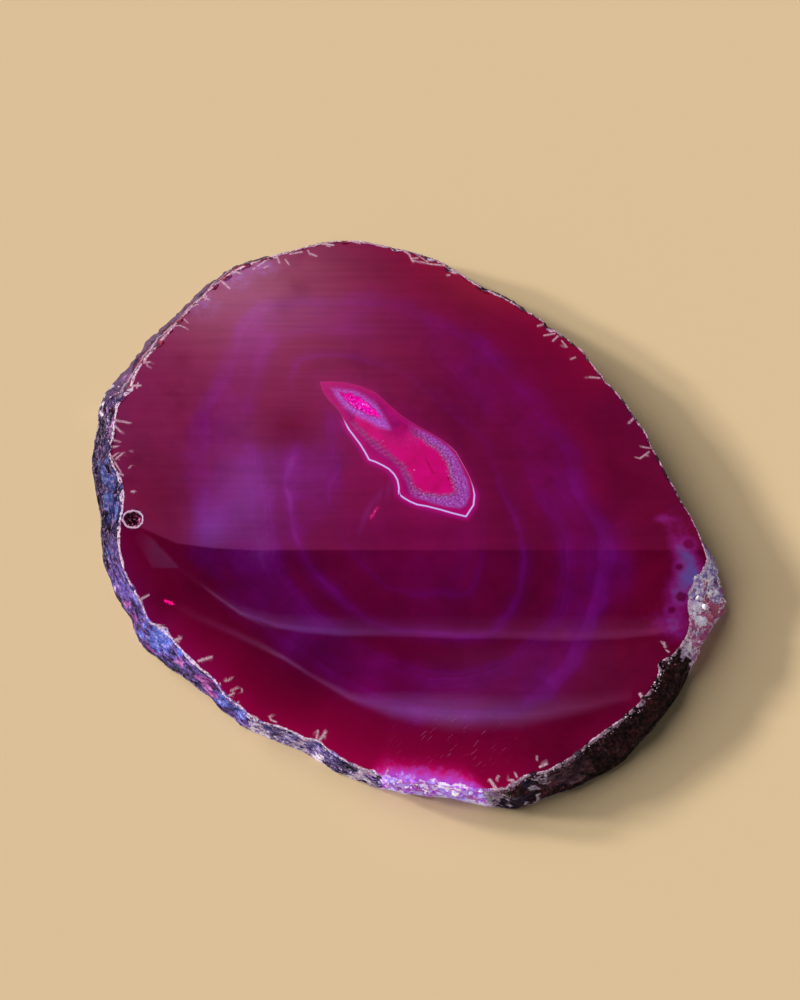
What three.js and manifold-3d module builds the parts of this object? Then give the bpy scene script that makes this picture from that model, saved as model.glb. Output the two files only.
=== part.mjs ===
// Dyed agate slice: one slab sawn across a rough nodule. The upper face is polished flat, the underside is
// sawn flat, and the natural rind is left all round the edge. A lens-shaped hollow near the heart of the
// bands is lined with small crystals. Millimetres, +Z up, origin at the middle of the underside.

import * as THREE from 'three';
import { mergeVertices } from 'three/addons/utils/BufferGeometryUtils.js';
import Module from 'manifold-3d';

const wasm = await Module();
wasm.setup();

// Driving dimensions of the slab
const THICKNESS = 7.3;
const RIM_STATIONS = 240;
const RIM_LEVELS = 8;

// The outline, anticlockwise: bearing from +X in degrees, distance of the polished face's edge from the
// origin, and how far the underside reaches beyond that edge, because the rind slopes as the nodule did.
const OUTLINE = [
  [0, 45.9, 1.9], [8, 43.6, 1.3], [18, 42.1, 1], [30, 41.1, 1], [42, 40.6, 1], [54, 41.3, 1],
  [66, 41.8, 1.3], [74, 42.7, 1.5], [82, 45.2, 1.6], [92, 47.5, 1.7], [102, 49.9, 1.8], [112, 50.8, 2],
  [124, 52.1, 2.3], [136, 51.6, 2.8], [144, 51.5, 3], [150, 52, 3.2], [155, 51.5, 4.6], [158, 52.1, 4],
  [161, 51.7, 3.8], [164, 51.1, 3.7], [167, 51, 3.4], [169, 50.5, 3.4], [172, 48.4, 4.7],
  [177, 47.3, 4.7], [184, 48, 3], [192, 47.8, 2.3], [200, 46.5, 2.2], [204, 46.4, 1.9], [206, 45, 3],
  [209, 44.4, 2.7], [216, 43.5, 1.9], [222, 42.8, 1.2], [227, 43.4, 0.4], [229, 43.1, 0.6],
  [235, 43.3, 0.2], [242, 42, 0.8], [247, 42.1, 0.5], [250, 41.7, 1.1], [252, 42.5, 0.6],
  [256, 43.5, 0.3], [266, 45.4, 0.2], [276, 46.6, 0.5], [284, 48.7, 0.6], [288, 49.8, 0.8],
  [291, 50.1, 1.4], [293, 49.1, 2.7], [297, 49.8, 2.5], [304, 49.9, 3.1], [310, 49.6, 4.1],
  [315, 50.2, 3.9], [325, 50.4, 3.7], [329, 49.6, 4.2], [332, 50.7, 2.9], [337, 51, 2.5],
  [342, 49.3, 4.8], [345, 49, 5.6], [348, 49.9, 3.4], [351, 50.8, 1.3], [355, 48.8, 2.4],
];

// Rind relief: coarse lumps, finer knobs, ledges that follow the growth layers, and round pits
const LUMP_SIZE = 6.0;
const LUMP_HEIGHT = 0.5;
const KNOB_SIZE = 2.3;
const KNOB_HEIGHT = 0.35;
const LEDGE_HEIGHT = 0.35;
const LEDGE_SPACING = 2.1;
const PIT_DEPTH = 0.75;
const MEAN_RADIUS = 48;

// The rind bulges: it leaves the face edge at a slant and is nearly upright at the underside
const BULGE = 2.2;

// Shares of the thickness over which the relief grows from the underside and dies out at the face
const RELIEF_GROWS = 0.12;
const RELIEF_FADES = 0.8;

// Coarse quartz crystals on the sloping break at the right tip, between these bearings
const TIP_CRYSTALS = { from: 332.5, to: 351, count: 34, radius: 0.95, length: 1.35 };

// Glassy lumps along the lower edge, between these bearings
const EDGE_CRYSTALS = { from: 264.5, to: 286, count: 26, radius: 0.8, length: 0.75 };

// Where those crystals root, as shares of the thickness, how much they differ in size, and the share of
// each that is sunk in the stone
const ROOT_BAND = [0.16, 0.78];
const CRYSTAL_SCALES = [0.7, 1.3];
const SUNK_SHARE = 0.75;

// Small round vug near the left edge of the face
const VUG = { x: -45.4, y: -0.75, radius: 1.5, depth: 1.3 };

// Chips broken out of the face's edge: bearing, size across, depth
const EDGE_CHIPS = [
  [34.8, 0.8, 0.4], [54.2, 1.5, 1.0], [80.4, 1.2, 0.5], [84.9, 1.4, 0.4], [91.7, 1.1, 0.6], [154.6, 1.0, 0.6],
  [169.4, 0.9, 0.6], [206.3, 1.2, 0.6], [262.8, 0.9, 0.5], [291.1, 1.4, 0.9], [320.8, 0.9, 0.5],
  [328.5, 0.9, 0.5],
];

// The lens-shaped hollow: its middle, the direction of its long axis, and its jagged outline as
// distances along and across that axis
const POCKET = { x: -7.9, y: 19.4, turn: -32, depth: 1.7 };
const POCKET_OUTLINE = [
  [-4.0, 0.15], [-2.9, 0.35], [-2.4, 0.95], [-1.5, 0.75], [-0.7, 1.15], [0.3, 0.85], [1.2, 0.95], [2.1, 0.5],
  [2.9, 0.55], [4.2, -0.1], [3.1, -0.3], [2.3, -0.75], [1.0, -0.6], [-0.2, -0.9], [-1.2, -0.6],
  [-2.3, -0.55], [-3.1, -0.15],
];
const POCKET_HALF_WIDTH = 0.9;

// The crust in it: clearance to the stone, thickness of its bed, and the crystals that stand on the bed
const CRUST_GAP = 0.06;
const CRUST_BED = 0.35;
const POCKET_CRYSTALS = {
  count: 18,
  run: 2.6,
  spread: 0.4,
  radii: [0.2, 0.32],
  lengths: [0.75, 1.1],
  rooted: 0.15,
};

const COLOURS = {
  agate: new THREE.Color(0x6e0538),
  druse: new THREE.Color(0xff1fb4),
};

const UP = new THREE.Vector3(0, 0, 1);
const radians = THREE.MathUtils.degToRad;

// A repeatable number between 0 and 1 for a whole-number cell
function cellValue(column, row, layer) {
  const mixed = Math.sin(column * 127.1 + row * 311.7 + layer * 74.7) * 43758.5453;
  return mixed - Math.floor(mixed);
}

// Smooth value noise from -1 to 1 over the rim, which closes on itself after a full turn
function rimNoise(bearing, height, size, layer) {
  const columns = Math.round((2 * Math.PI * MEAN_RADIUS) / size);
  const u = (bearing / 360) * columns;
  const v = height / size;
  const column = Math.floor(u);
  const row = Math.floor(v);
  const easeU = THREE.MathUtils.smoothstep(u - column, 0, 1);
  const easeV = THREE.MathUtils.smoothstep(v - row, 0, 1);
  const corner = (i, j) => cellValue((((column + i) % columns) + columns) % columns, row + j, layer);
  const low = THREE.MathUtils.lerp(corner(0, 0), corner(1, 0), easeU);
  const high = THREE.MathUtils.lerp(corner(0, 1), corner(1, 1), easeU);
  return THREE.MathUtils.lerp(low, high, easeV) * 2 - 1;
}

// The face edge's radius and the underside's overhang at any bearing, eased between the stations
const stations = [...OUTLINE, [360, OUTLINE[0][1], OUTLINE[0][2]]];
const outlineCurve = new THREE.CubicInterpolant(
  stations.map((station) => station[0]),
  stations.flatMap((station) => [station[1], station[2]]),
  2,
);
outlineCurve.settings = { endingStart: THREE.WrapAroundEnding, endingEnd: THREE.WrapAroundEnding };

function outlineAt(bearing) {
  const [faceRadius, overhang] = outlineCurve.evaluate(((bearing % 360) + 360) % 360);
  return { faceRadius, overhang: Math.max(overhang, 0) };
}

// How far the rind stands out from its smooth slope. It fades to nothing at the sawn faces.
function rindRelief(bearing, height) {
  const level = height / THICKNESS;
  const grown = THREE.MathUtils.smoothstep(level, -RELIEF_GROWS, RELIEF_GROWS);
  const fade = grown * (1 - THREE.MathUtils.smoothstep(level, RELIEF_FADES, 1));
  const lumps = rimNoise(bearing, height, LUMP_SIZE, 1) * LUMP_HEIGHT;
  const knobs = rimNoise(bearing, height, KNOB_SIZE, 2) * KNOB_HEIGHT;
  const layerShift = rimNoise(bearing, 0, LUMP_SIZE * 2, 3);
  const ledge = Math.abs(((height / LEDGE_SPACING + layerShift) % 1) - 0.5) * 2 * LEDGE_HEIGHT;
  const pitNoise = rimNoise(bearing, height, KNOB_SIZE * 1.4, 4);
  const pits = THREE.MathUtils.smoothstep(pitNoise, 0.35, 0.85) * PIT_DEPTH;
  return (lumps + knobs + ledge - pits - LEDGE_HEIGHT) * fade;
}

// A point on the rim: the slope from face edge to underside, with the relief on it
function rimPoint(bearing, height) {
  const { faceRadius, overhang } = outlineAt(bearing);
  const level = height / THICKNESS;
  const slope = overhang * (1 - Math.pow(level, BULGE));
  const radius = faceRadius + slope + rindRelief(bearing, height);
  return new THREE.Vector3(radius * Math.cos(radians(bearing)), radius * Math.sin(radians(bearing)), height);
}

// Turns a closed three.js geometry into a solid that can be joined and cut
function toSolid(geometry, matrix = new THREE.Matrix4()) {
  const bare = geometry.clone().applyMatrix4(matrix);
  bare.deleteAttribute('normal');
  bare.deleteAttribute('uv');
  const merged = mergeVertices(bare, 1e-5);
  return new wasm.Manifold(new wasm.Mesh({
    numProp: 3,
    vertProperties: Float32Array.from(merged.attributes.position.array),
    triVerts: Uint32Array.from(merged.index.array),
  }));
}

function toGeometry(solid) {
  const { vertProperties, triVerts } = solid.getMesh();
  const geometry = new THREE.BufferGeometry();
  geometry.setAttribute('position', new THREE.BufferAttribute(vertProperties, 3));
  geometry.setIndex(new THREE.BufferAttribute(triVerts, 1));
  geometry.computeVertexNormals();
  return geometry;
}

// The slab: a cylinder whose wall is drawn out, station by station, to the rim
function slab() {
  const geometry = new THREE.CylinderGeometry(1, 1, THICKNESS, RIM_STATIONS, RIM_LEVELS);
  const position = geometry.attributes.position;
  for (let i = 0; i < position.count; i += 1) {
    const along = position.getZ(i);
    const across = position.getX(i);
    const level = Math.round(((position.getY(i) / THICKNESS) + 0.5) * RIM_LEVELS);
    const height = (level / RIM_LEVELS) * THICKNESS;
    if (Math.hypot(along, across) < 0.5) {
      position.setXYZ(i, 0, 0, height);
      continue;
    }
    const turn = Math.round((Math.atan2(across, along) / (2 * Math.PI)) * RIM_STATIONS);
    const station = ((turn % RIM_STATIONS) + RIM_STATIONS) % RIM_STATIONS;
    const point = rimPoint((station / RIM_STATIONS) * 360, height);
    position.setXYZ(i, point.x, point.y, point.z);
  }
  return toSolid(geometry);
}

// One quartz crystal: a six-sided prism with a six-sided point, standing on its base along +Z
function crystalGeometry(radius, length) {
  const profile = [
    new THREE.Vector2(0, 0),
    new THREE.Vector2(radius, 0),
    new THREE.Vector2(radius, length * 0.55),
    new THREE.Vector2(0, length),
  ];
  return new THREE.LatheGeometry(profile, 6).rotateX(Math.PI / 2);
}

// A matrix that stands a crystal at a point, leaning along a unit direction and spun about itself
function standing(point, direction, spin) {
  const lean = new THREE.Quaternion().setFromUnitVectors(UP, direction);
  const twist = new THREE.Quaternion().setFromAxisAngle(UP, spin);
  return new THREE.Matrix4().compose(point, lean.multiply(twist), new THREE.Vector3(1, 1, 1));
}

// Crystals scattered over a stretch of the rim, rooted in the slab and leaning outwards. None stands
// above the polished face or below the underside.
function rimCrystals({ from, to, count, radius, length }, layer) {
  const crystals = [];
  for (let i = 0; i < count; i += 1) {
    const bearing = THREE.MathUtils.lerp(from, to, (i + cellValue(i, 1, layer)) / count);
    const height = THREE.MathUtils.lerp(...ROOT_BAND, cellValue(i, 2, layer)) * THICKNESS;
    const scale = THREE.MathUtils.lerp(...CRYSTAL_SCALES, cellValue(i, 3, layer));
    const lift = THREE.MathUtils.lerp(-0.18, 0.32, cellValue(i, 4, layer));
    const angle = radians(bearing) + THREE.MathUtils.lerp(-0.45, 0.45, cellValue(i, 5, layer));
    const direction = new THREE.Vector3(Math.cos(angle), Math.sin(angle), lift).normalize();
    const sunk = length * scale * SUNK_SHARE;
    const root = rimPoint(bearing, height).addScaledVector(direction, -sunk);
    const matrix = standing(root, direction, cellValue(i, 6, layer) * Math.PI);
    crystals.push(toSolid(crystalGeometry(radius * scale, length * scale + sunk / 2), matrix));
  }
  return crystals;
}

// The vug: a low round bowl sunk in the face
function vug() {
  const bowl = new THREE.IcosahedronGeometry(1, 1);
  bowl.scale(VUG.radius, VUG.radius * 0.9, VUG.depth).translate(VUG.x, VUG.y, THICKNESS + 0.05);
  return toSolid(bowl);
}

// A chip: a shallow eight-sided bite across the face's edge
function edgeChip([bearing, width, depth]) {
  const { faceRadius } = outlineAt(bearing);
  const bite = new THREE.OctahedronGeometry(1);
  bite.rotateZ(0.6).scale(width * 0.6, width, depth);
  bite.rotateZ(radians(bearing)).translate(
    faceRadius * Math.cos(radians(bearing)),
    faceRadius * Math.sin(radians(bearing)),
    THICKNESS + 0.04,
  );
  return toSolid(bite);
}

// The pocket's outline as a shape, drawn in by a margin on all sides
function pocketShape(margin) {
  const points = POCKET_OUTLINE.map(([along, across]) => {
    const inset = 1 - margin / Math.hypot(along, across);
    return new THREE.Vector2(along * inset, across * (1 - margin / POCKET_HALF_WIDTH));
  });
  return new THREE.Shape(points.reverse());
}

function placedInPocket(geometry, height) {
  return geometry.rotateZ(radians(POCKET.turn)).translate(POCKET.x, POCKET.y, height);
}

function pocket() {
  const hollow = new THREE.ExtrudeGeometry(pocketShape(0), { depth: POCKET.depth + 1, bevelEnabled: false });
  return toSolid(placedInPocket(hollow, THICKNESS - POCKET.depth));
}

// The crust that lines the pocket: a thin bed with two rows of crystals rooted in it, all below the face
function pocketCrystals() {
  const { count, run, spread, radii, lengths, rooted } = POCKET_CRYSTALS;
  const bedHeight = THICKNESS - POCKET.depth + CRUST_GAP;
  const bed = new THREE.ExtrudeGeometry(pocketShape(CRUST_GAP), { depth: CRUST_BED, bevelEnabled: false });
  let crust = toSolid(placedInPocket(bed, bedHeight));
  for (let i = 0; i < count; i += 1) {
    const along = THREE.MathUtils.lerp(-run, run, i / (count - 1));
    const row = i % 2 === 0 ? 1 : -1;
    const across = row * spread * (1 - Math.abs(along) / (run * 1.6));
    const radius = THREE.MathUtils.lerp(...radii, cellValue(i, 7, 5));
    const length = THREE.MathUtils.lerp(...lengths, cellValue(i, 8, 5));
    const point = new THREE.Vector3(along, across, 0).applyAxisAngle(UP, radians(POCKET.turn));
    point.add(new THREE.Vector3(POCKET.x, POCKET.y, bedHeight + rooted));
    const tilt = [9, 10].map((draw) => 0.3 * (cellValue(i, draw, 5) - 0.5));
    const matrix = standing(point, new THREE.Vector3(...tilt, 1).normalize(), cellValue(i, 11, 5) * Math.PI);
    crust = crust.add(toSolid(crystalGeometry(radius, length), matrix));
  }
  return crust;
}

function agateSlice() {
  let stone = slab();
  for (const crystal of [...rimCrystals(TIP_CRYSTALS, 6), ...rimCrystals(EDGE_CRYSTALS, 7)]) {
    stone = stone.add(crystal);
  }
  for (const bite of [vug(), pocket(), ...EDGE_CHIPS.map(edgeChip)]) {
    stone = stone.subtract(bite);
  }
  return stone;
}

function namedMesh(name, solid, colour, roughness) {
  const material = new THREE.MeshStandardMaterial({ color: colour, roughness, metalness: 0 });
  const mesh = new THREE.Mesh(toGeometry(solid), material);
  mesh.name = name;
  return mesh;
}

const part = new THREE.Group();
part.add(namedMesh('agate_slice', agateSlice(), COLOURS.agate, 0.12));
part.add(namedMesh('pocket_crystals', pocketCrystals(), COLOURS.druse, 0.2));

// The outline's own box is a hair off centre, so the whole part is moved onto the origin
const box = new THREE.Box3().setFromObject(part);
const middle = box.getCenter(new THREE.Vector3());
part.position.set(-middle.x, -middle.y, -box.min.z);

export default part;
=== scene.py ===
# %% [markdown]
# # A slice of dyed agate
# Agate is silica that filled a hollow in lava, one thin band after another, until a last pocket of crystals
# was left in the middle. This slice was sawn across such a nodule, soaked in dye, and polished on one face.
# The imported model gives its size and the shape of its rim. This lesson dresses that frame: the banded face,
# the rough rind, the crystals, and a plain studio to see them in.

import math

import bmesh
import bpy
import numpy as np
from mathutils import Matrix, Vector, noise
from mathutils.bvhtree import BVHTree


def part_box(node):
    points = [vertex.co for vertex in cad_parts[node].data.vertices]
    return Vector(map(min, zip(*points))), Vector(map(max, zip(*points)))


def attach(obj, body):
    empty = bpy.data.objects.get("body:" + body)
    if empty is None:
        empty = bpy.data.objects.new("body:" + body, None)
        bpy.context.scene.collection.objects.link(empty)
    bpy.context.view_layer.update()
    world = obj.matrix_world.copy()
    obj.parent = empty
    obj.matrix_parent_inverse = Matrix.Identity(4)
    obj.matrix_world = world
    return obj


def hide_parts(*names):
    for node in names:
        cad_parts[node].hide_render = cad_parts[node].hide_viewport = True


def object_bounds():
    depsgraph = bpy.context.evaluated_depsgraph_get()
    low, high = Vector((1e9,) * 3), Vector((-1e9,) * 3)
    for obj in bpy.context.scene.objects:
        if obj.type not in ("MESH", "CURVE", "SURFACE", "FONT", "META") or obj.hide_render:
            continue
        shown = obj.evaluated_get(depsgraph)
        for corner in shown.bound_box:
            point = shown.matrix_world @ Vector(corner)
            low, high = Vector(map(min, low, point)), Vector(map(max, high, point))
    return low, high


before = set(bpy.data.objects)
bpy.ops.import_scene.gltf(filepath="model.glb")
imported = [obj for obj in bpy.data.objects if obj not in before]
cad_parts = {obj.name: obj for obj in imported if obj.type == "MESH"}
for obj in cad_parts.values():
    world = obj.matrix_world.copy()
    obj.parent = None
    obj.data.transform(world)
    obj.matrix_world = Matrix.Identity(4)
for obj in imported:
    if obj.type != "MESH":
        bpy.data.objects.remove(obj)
cad_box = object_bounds()
MM = 0.001
stone_low, stone_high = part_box("agate_slice")
THICKNESS = (stone_high.z - stone_low.z) / MM
print(f"the slice is {THICKNESS:.2f} mm thick")

# %% [markdown]
# ## The camera
# The photograph looks down on the slice from the front, steeply enough that the whole face shows and only a
# sliver of the near rind does. A long lens keeps the outline free of strong perspective. The same numbers
# serve a second time below, to turn a place in the photograph into a place on the polished face.

# %% Camera
PHOTO_WIDTH, PHOTO_HEIGHT = 800, 1000
VIEW_ELEVATION = math.radians(72)
VIEW_DISTANCE = 900.0
AIM_POINT = Vector((-1.271, 1.748, 7.3))
LENS, SENSOR = 194.4, 36.0

look = Vector((0, math.cos(VIEW_ELEVATION), -math.sin(VIEW_ELEVATION)))
screen_up = Vector((0, math.sin(VIEW_ELEVATION), math.cos(VIEW_ELEVATION)))
eye_point = AIM_POINT - look * VIEW_DISTANCE

camera_data = bpy.data.cameras.new("view_camera")
camera_data.lens = LENS
camera_data.sensor_width = SENSOR
camera_data.clip_start = 0.01
camera = bpy.data.objects.new("view_camera", camera_data)
camera.location = eye_point * MM
camera.rotation_euler = (math.pi / 2 - VIEW_ELEVATION, 0, 0)
bpy.context.scene.collection.objects.link(camera)
bpy.context.scene.camera = camera


def on_face(pixels, height=THICKNESS):
    """Places in the photograph, as points in millimetres on a level plane through the stone."""
    pixels = np.atleast_2d(np.asarray(pixels, float))
    scale = PHOTO_HEIGHT * LENS / SENSOR
    across = pixels[:, 0] - PHOTO_WIDTH / 2
    down = pixels[:, 1] - PHOTO_HEIGHT / 2
    ray = np.outer(np.full(len(pixels), scale), look) - np.outer(down, screen_up)
    ray[:, 0] += across
    reach = (height - eye_point.z) / ray[:, 2]
    return np.array(eye_point)[:2] + ray[:, :2] * reach[:, None]


# One pixel of the photograph on the face, in mm
PIXEL = float(on_face([(401, 500)])[0][0] - on_face([(400, 500)])[0][0])
print("aimed at", [round(v, 2) for v in on_face([(400, 500)])[0]])

# %% [markdown]
# ## The curves that the bands follow
# Every band in an agate is an offset of the hollow's wall, distorted a little more the further in it lies.
# So the face is described by closed curves about the heart: the heart's own edge, four bands that stand
# out, and the rim. Each is a list of bearings and distances read off the stone. All that lies
# between two curves is blended, which is why the bands made this way never cross.

# %% Curves on the face
HEART_MIDDLE = on_face([(400, 445)])[0]

# The heart's edge, clockwise from its tip
HEART_EDGE = [
    (320, 382), (330, 381.5), (345, 382.5), (360, 386), (376, 393), (390, 406), (400, 414.5), (410, 421.5),
    (425, 430), (440, 438.5), (450, 446), (456, 452), (461, 461), (466, 470), (470, 478), (473, 487),
    (474.5, 495), (473.5, 505), (466, 516.5), (452, 513), (440, 509.5), (426, 506), (417, 504.5),
    (410, 501.5), (404, 498), (398.5, 494), (399, 488), (397.5, 480), (394, 474), (389, 469), (383, 465.5),
    (376, 462), (369, 459.5), (365, 452), (360, 444), (354, 436), (349, 429.5), (345, 422), (341, 414),
    (335, 406), (328, 399), (323, 391),
]

# Bearing in degrees and distance from the heart's middle in millimetres
FIRST_BAND = [
    (0, 9.5), (20, 7.2), (40, 6.4), (60, 6.4), (80, 7.2), (100, 9.2), (115, 12.5), (130, 17), (140, 19.5),
    (150, 15.5), (160, 12.8), (170, 12.4), (180, 11.2), (195, 10.2), (205, 11), (210, 13.4), (217.5, 14.4),
    (227.5, 15.7), (234, 17), (240, 18.9), (247.5, 20.5), (255, 22.3), (262.5, 24.1), (270, 25.7),
    (277.5, 27), (285, 27.6), (290, 28.3), (294, 29.4), (297.5, 27.8), (302.5, 25.7), (307.5, 23.1),
    (312.5, 20.5), (317.5, 18.2), (325, 16.8), (335, 14), (345, 11.6),
]
SECOND_BAND = [
    (0, 14.9), (5, 13.8), (10, 12.9), (20, 11.4), (30, 10.8), (40, 10.5), (50, 10.2), (60, 10.4),
    (70, 11.1), (80, 12.1), (90, 13.1), (100, 14.4), (110, 16), (120, 18.4), (130, 20.7), (138, 22.6),
    (148, 21.4), (160, 18.6), (170, 17.2), (180, 17.6), (187, 18.6), (199, 20.2), (209, 21), (217, 22.6),
    (226, 24.1), (231, 25.2), (240, 26.8), (250, 28.9), (260, 31), (267.5, 31.8), (275, 32.8),
    (282.5, 34.1), (292.5, 36.2), (296, 36.7), (301, 35.2), (306, 33.9), (312.5, 31), (317.5, 28.3),
    (322.5, 25.2), (327.5, 22), (332.5, 19.4), (337.5, 17.8), (345, 16.3), (352.5, 15.2),
]
THIRD_BAND = [
    (0, 21), (5, 20), (12.5, 17.8), (20, 16.4), (31, 15.4), (42, 15.7), (55, 16.8), (65, 16.8), (75, 17.3),
    (87, 18.4), (100, 20), (110, 21.5), (120, 23.9), (130, 26.5), (135, 28), (141, 28.9), (147, 27.8),
    (154, 26.2), (160, 25.7), (170, 24.8), (185, 24.4), (199, 23.9), (211, 25.2), (221, 27.6), (232, 30.6),
    (243, 32.8), (255, 34.6), (262.5, 36.2), (270, 38.8), (277.5, 41.2), (285, 42), (295, 42.3),
    (302.5, 40.9), (310, 40.2), (317.5, 37.3), (325, 34.4), (330, 31.5), (337.5, 26.2), (345, 23.1),
    (352.5, 22),
]
FOURTH_BAND = [
    (0, 27.8), (5, 26.2), (12.5, 24.3), (22.5, 23.1), (32.5, 22.6), (42.5, 22.6), (55, 22.8), (67.5, 22.6),
    (80, 22.8), (90, 24.1), (100, 26.2), (110, 28), (120, 30.2), (129, 32.5), (136, 34.6), (145, 33.3),
    (154, 31.5), (161, 31.5), (169, 33.4), (180, 33.8), (195, 35.5), (207, 38.3), (220, 39.3), (235, 39.8),
    (250, 41), (257.5, 42.2), (265, 44.6), (272.5, 46.7), (280, 48.3), (287.5, 49.6), (292.5, 50.7),
    (300, 49.3), (311, 45.7), (320, 42.5), (327.5, 40.9), (335, 38.8), (339, 34.5), (346, 31), (355, 28.9),
]
# How many degrees each band is softened by, less near the heart, where it has sharp bends
BANDS = ((FIRST_BAND, 0.8), (SECOND_BAND, 1.5), (THIRD_BAND, 2.5), (FOURTH_BAND, 3.0))
BEARING_STEP = 0.25


def bearings_of(points):
    return np.degrees(np.arctan2(points[:, 1], points[:, 0])) % 360


def rays(bearings):
    """Unit vectors at bearings in degrees."""
    turn = np.radians(bearings)
    return np.stack([np.cos(turn), np.sin(turn)], -1)


def around(bearings, distances, wanted, soften=0.0):
    """A closed curve's distance at the wanted bearings, softened by some degrees."""
    order = np.argsort(bearings)
    dense = np.arange(0, 360, BEARING_STEP)
    curve = np.interp(dense, np.asarray(bearings)[order], np.asarray(distances)[order], period=360)
    if soften:
        reach = np.arange(-4 * soften, 4 * soften + BEARING_STEP, BEARING_STEP)
        weight = np.exp(-0.5 * (reach / soften) ** 2)
        padded = np.concatenate([curve, curve, curve])
        curve = np.convolve(padded, weight / weight.sum(), "same")[len(dense) : 2 * len(dense)]
    return np.interp(wanted, dense, curve, period=360)


def around_arms(arms, wanted):
    """The same for a closed curve that is given as arms from the heart's middle."""
    return around(bearings_of(arms), np.hypot(*arms.T), wanted)


heart_outline = on_face(HEART_EDGE)
heart_arms = heart_outline - HEART_MIDDLE
print("the heart is", round(float(np.ptp(heart_outline[:, 0])), 1), "mm across")

# %% [markdown]
# ## The rim, felt from outside
# The rim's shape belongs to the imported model, so it isn't drawn a second time. Rays are sent in from all
# round, level by level, and where they meet the model is where the new surface has to run. Blender's BVH
# tree does that quickly. At the upper right the face reaches out over the wall, so its edge is moved
# outwards there. The rim is then seen from the heart, as the bands are.

# %% Rays onto the rim
FACE_EDGE_DEPTH = 0.03
RAY_START = 90
OVERHANG_MIDDLE, OVERHANG_REACH, OVERHANG_SOFT, OVERHANG_SHARE = 22, 30, 6, 0.62
OVERHANG_LEVELS = (5.5, 4, 2.5, 1)
stone_solid = BVHTree.FromObject(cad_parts["agate_slice"], bpy.context.evaluated_depsgraph_get())


def outward(bearing):
    """A level unit vector at a bearing in degrees."""
    return Vector((math.cos(math.radians(bearing)), math.sin(math.radians(bearing)), 0))


def wall_distance(bearing, height):
    """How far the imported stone's rim stands from the middle at a bearing in degrees and a height in mm."""
    out = outward(bearing)
    start = (out * RAY_START + Vector((0, 0, height))) * MM
    hit = stone_solid.ray_cast(start, -out)[0]
    return math.hypot(hit.x, hit.y) / MM


def overhang(bearing):
    """1 where the face reaches out over the whole wall, 0 elsewhere."""
    away = abs((bearing - OVERHANG_MIDDLE + 180) % 360 - 180)
    return min(1.0, max(0.0, (OVERHANG_REACH - away) / OVERHANG_SOFT))


edge_bearings = np.arange(0, 360, 0.4)
edge_distances = np.array([wall_distance(b, THICKNESS - FACE_EDGE_DEPTH) for b in edge_bearings])
for index, bearing in enumerate(edge_bearings):
    widest = max(wall_distance(bearing, height) for height in OVERHANG_LEVELS)
    edge_distances[index] += overhang(bearing) * OVERHANG_SHARE * max(0.0, widest - edge_distances[index])
face_edge = edge_distances[:, None] * rays(edge_bearings)
edge_arms = face_edge - HEART_MIDDLE
print(f"the face's edge is {edge_distances.min():.1f} to {edge_distances.max():.1f} mm from the middle")


def all_curves(wanted):
    """The distances of the heart's edge, the four bands and the rim at the wanted bearings."""
    bands = [around(*np.transpose(table), wanted, soften) for table, soften in BANDS]
    return [around_arms(heart_arms, wanted), *bands, around_arms(edge_arms, wanted)]


# %% [markdown]
# ## The slice as one spun disc
# Whatever its outline, a slice has the topology of a disc with a wall: so a profile is spun once about the
# upright axis, which gives closed rings of points, and each ring is then drawn out to its own curve. The
# rings lie closest where the stone changes most, at the heart's edge and just inside the rim. The columns
# aren't spread evenly by angle but by the length of the heart's edge and of the rim together, so that the
# long thin heart gets enough of them.

# %% Spin the profile
COLUMNS = 640
SIDE_LEVELS = 22
UNDERSIDE_RINGS = 8
NEAR_HEART = 0.3
NEAR_RIM = (1.3, 0.45)
# Rings between one curve and the next: middle, heart's edge (inner, on, outer), bands, rim (two inner, on)
FACE_SPANS = (20, 1, 1, 7, 9, 9, 9, 14, 4, 3)


def running_share(arms):
    """The share of a closed curve's length that lies before each quarter degree of bearing."""
    dense = np.arange(0, 360 + BEARING_STEP, BEARING_STEP)
    points = around_arms(arms, dense % 360)[:, None] * rays(dense)
    steps = np.hypot(*np.diff(points, axis=0).T)
    return dense, np.concatenate([[0], np.cumsum(steps)]) / steps.sum()


dense, heart_share = running_share(heart_arms)
_, rim_share = running_share(edge_arms)
column_bearings = np.interp(np.arange(COLUMNS) / COLUMNS, (heart_share + rim_share) / 2, dense)

heart_at, *bands_at, rim_at = all_curves(column_bearings)
key_curves = [
    np.zeros(COLUMNS), heart_at - NEAR_HEART, heart_at, heart_at + NEAR_HEART, *bands_at,
    rim_at - NEAR_RIM[0], rim_at - NEAR_RIM[1], rim_at,
]
face_rings = [key_curves[0]]
for inner, outer, span in zip(key_curves, key_curves[1:], FACE_SPANS):
    face_rings += [inner + (outer - inner) * step / span for step in range(1, span + 1)]
face_rings = np.array(face_rings)

profile = [(float(ring), 1.0) for ring in range(len(face_rings))]
profile += [(profile[-1][0] + 1, 1 - level / SIDE_LEVELS) for level in range(1, SIDE_LEVELS + 1)]
profile += [(profile[-1][0] * (1 - ring / UNDERSIDE_RINGS), -1.0) for ring in range(1, UNDERSIDE_RINGS + 1)]

slab = bmesh.new()
station = slab.verts.layers.int.new("station")
strip = [slab.verts.new((radius, 0, height)) for radius, height in profile]
for index, vert in enumerate(strip):
    vert[station] = index
edges = [slab.edges.new(pair) for pair in zip(strip, strip[1:])]
bmesh.ops.spin(
    slab, geom=strip + edges, cent=(0, 0, 0), axis=(0, 0, 1), dvec=(0, 0, 0), angle=2 * math.pi,
    steps=COLUMNS, use_merge=True, use_duplicate=False,
)
bmesh.ops.remove_doubles(slab, verts=slab.verts[:], dist=1e-4)
print("spun", len(slab.verts), "points in", len(profile), "rings")

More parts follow.
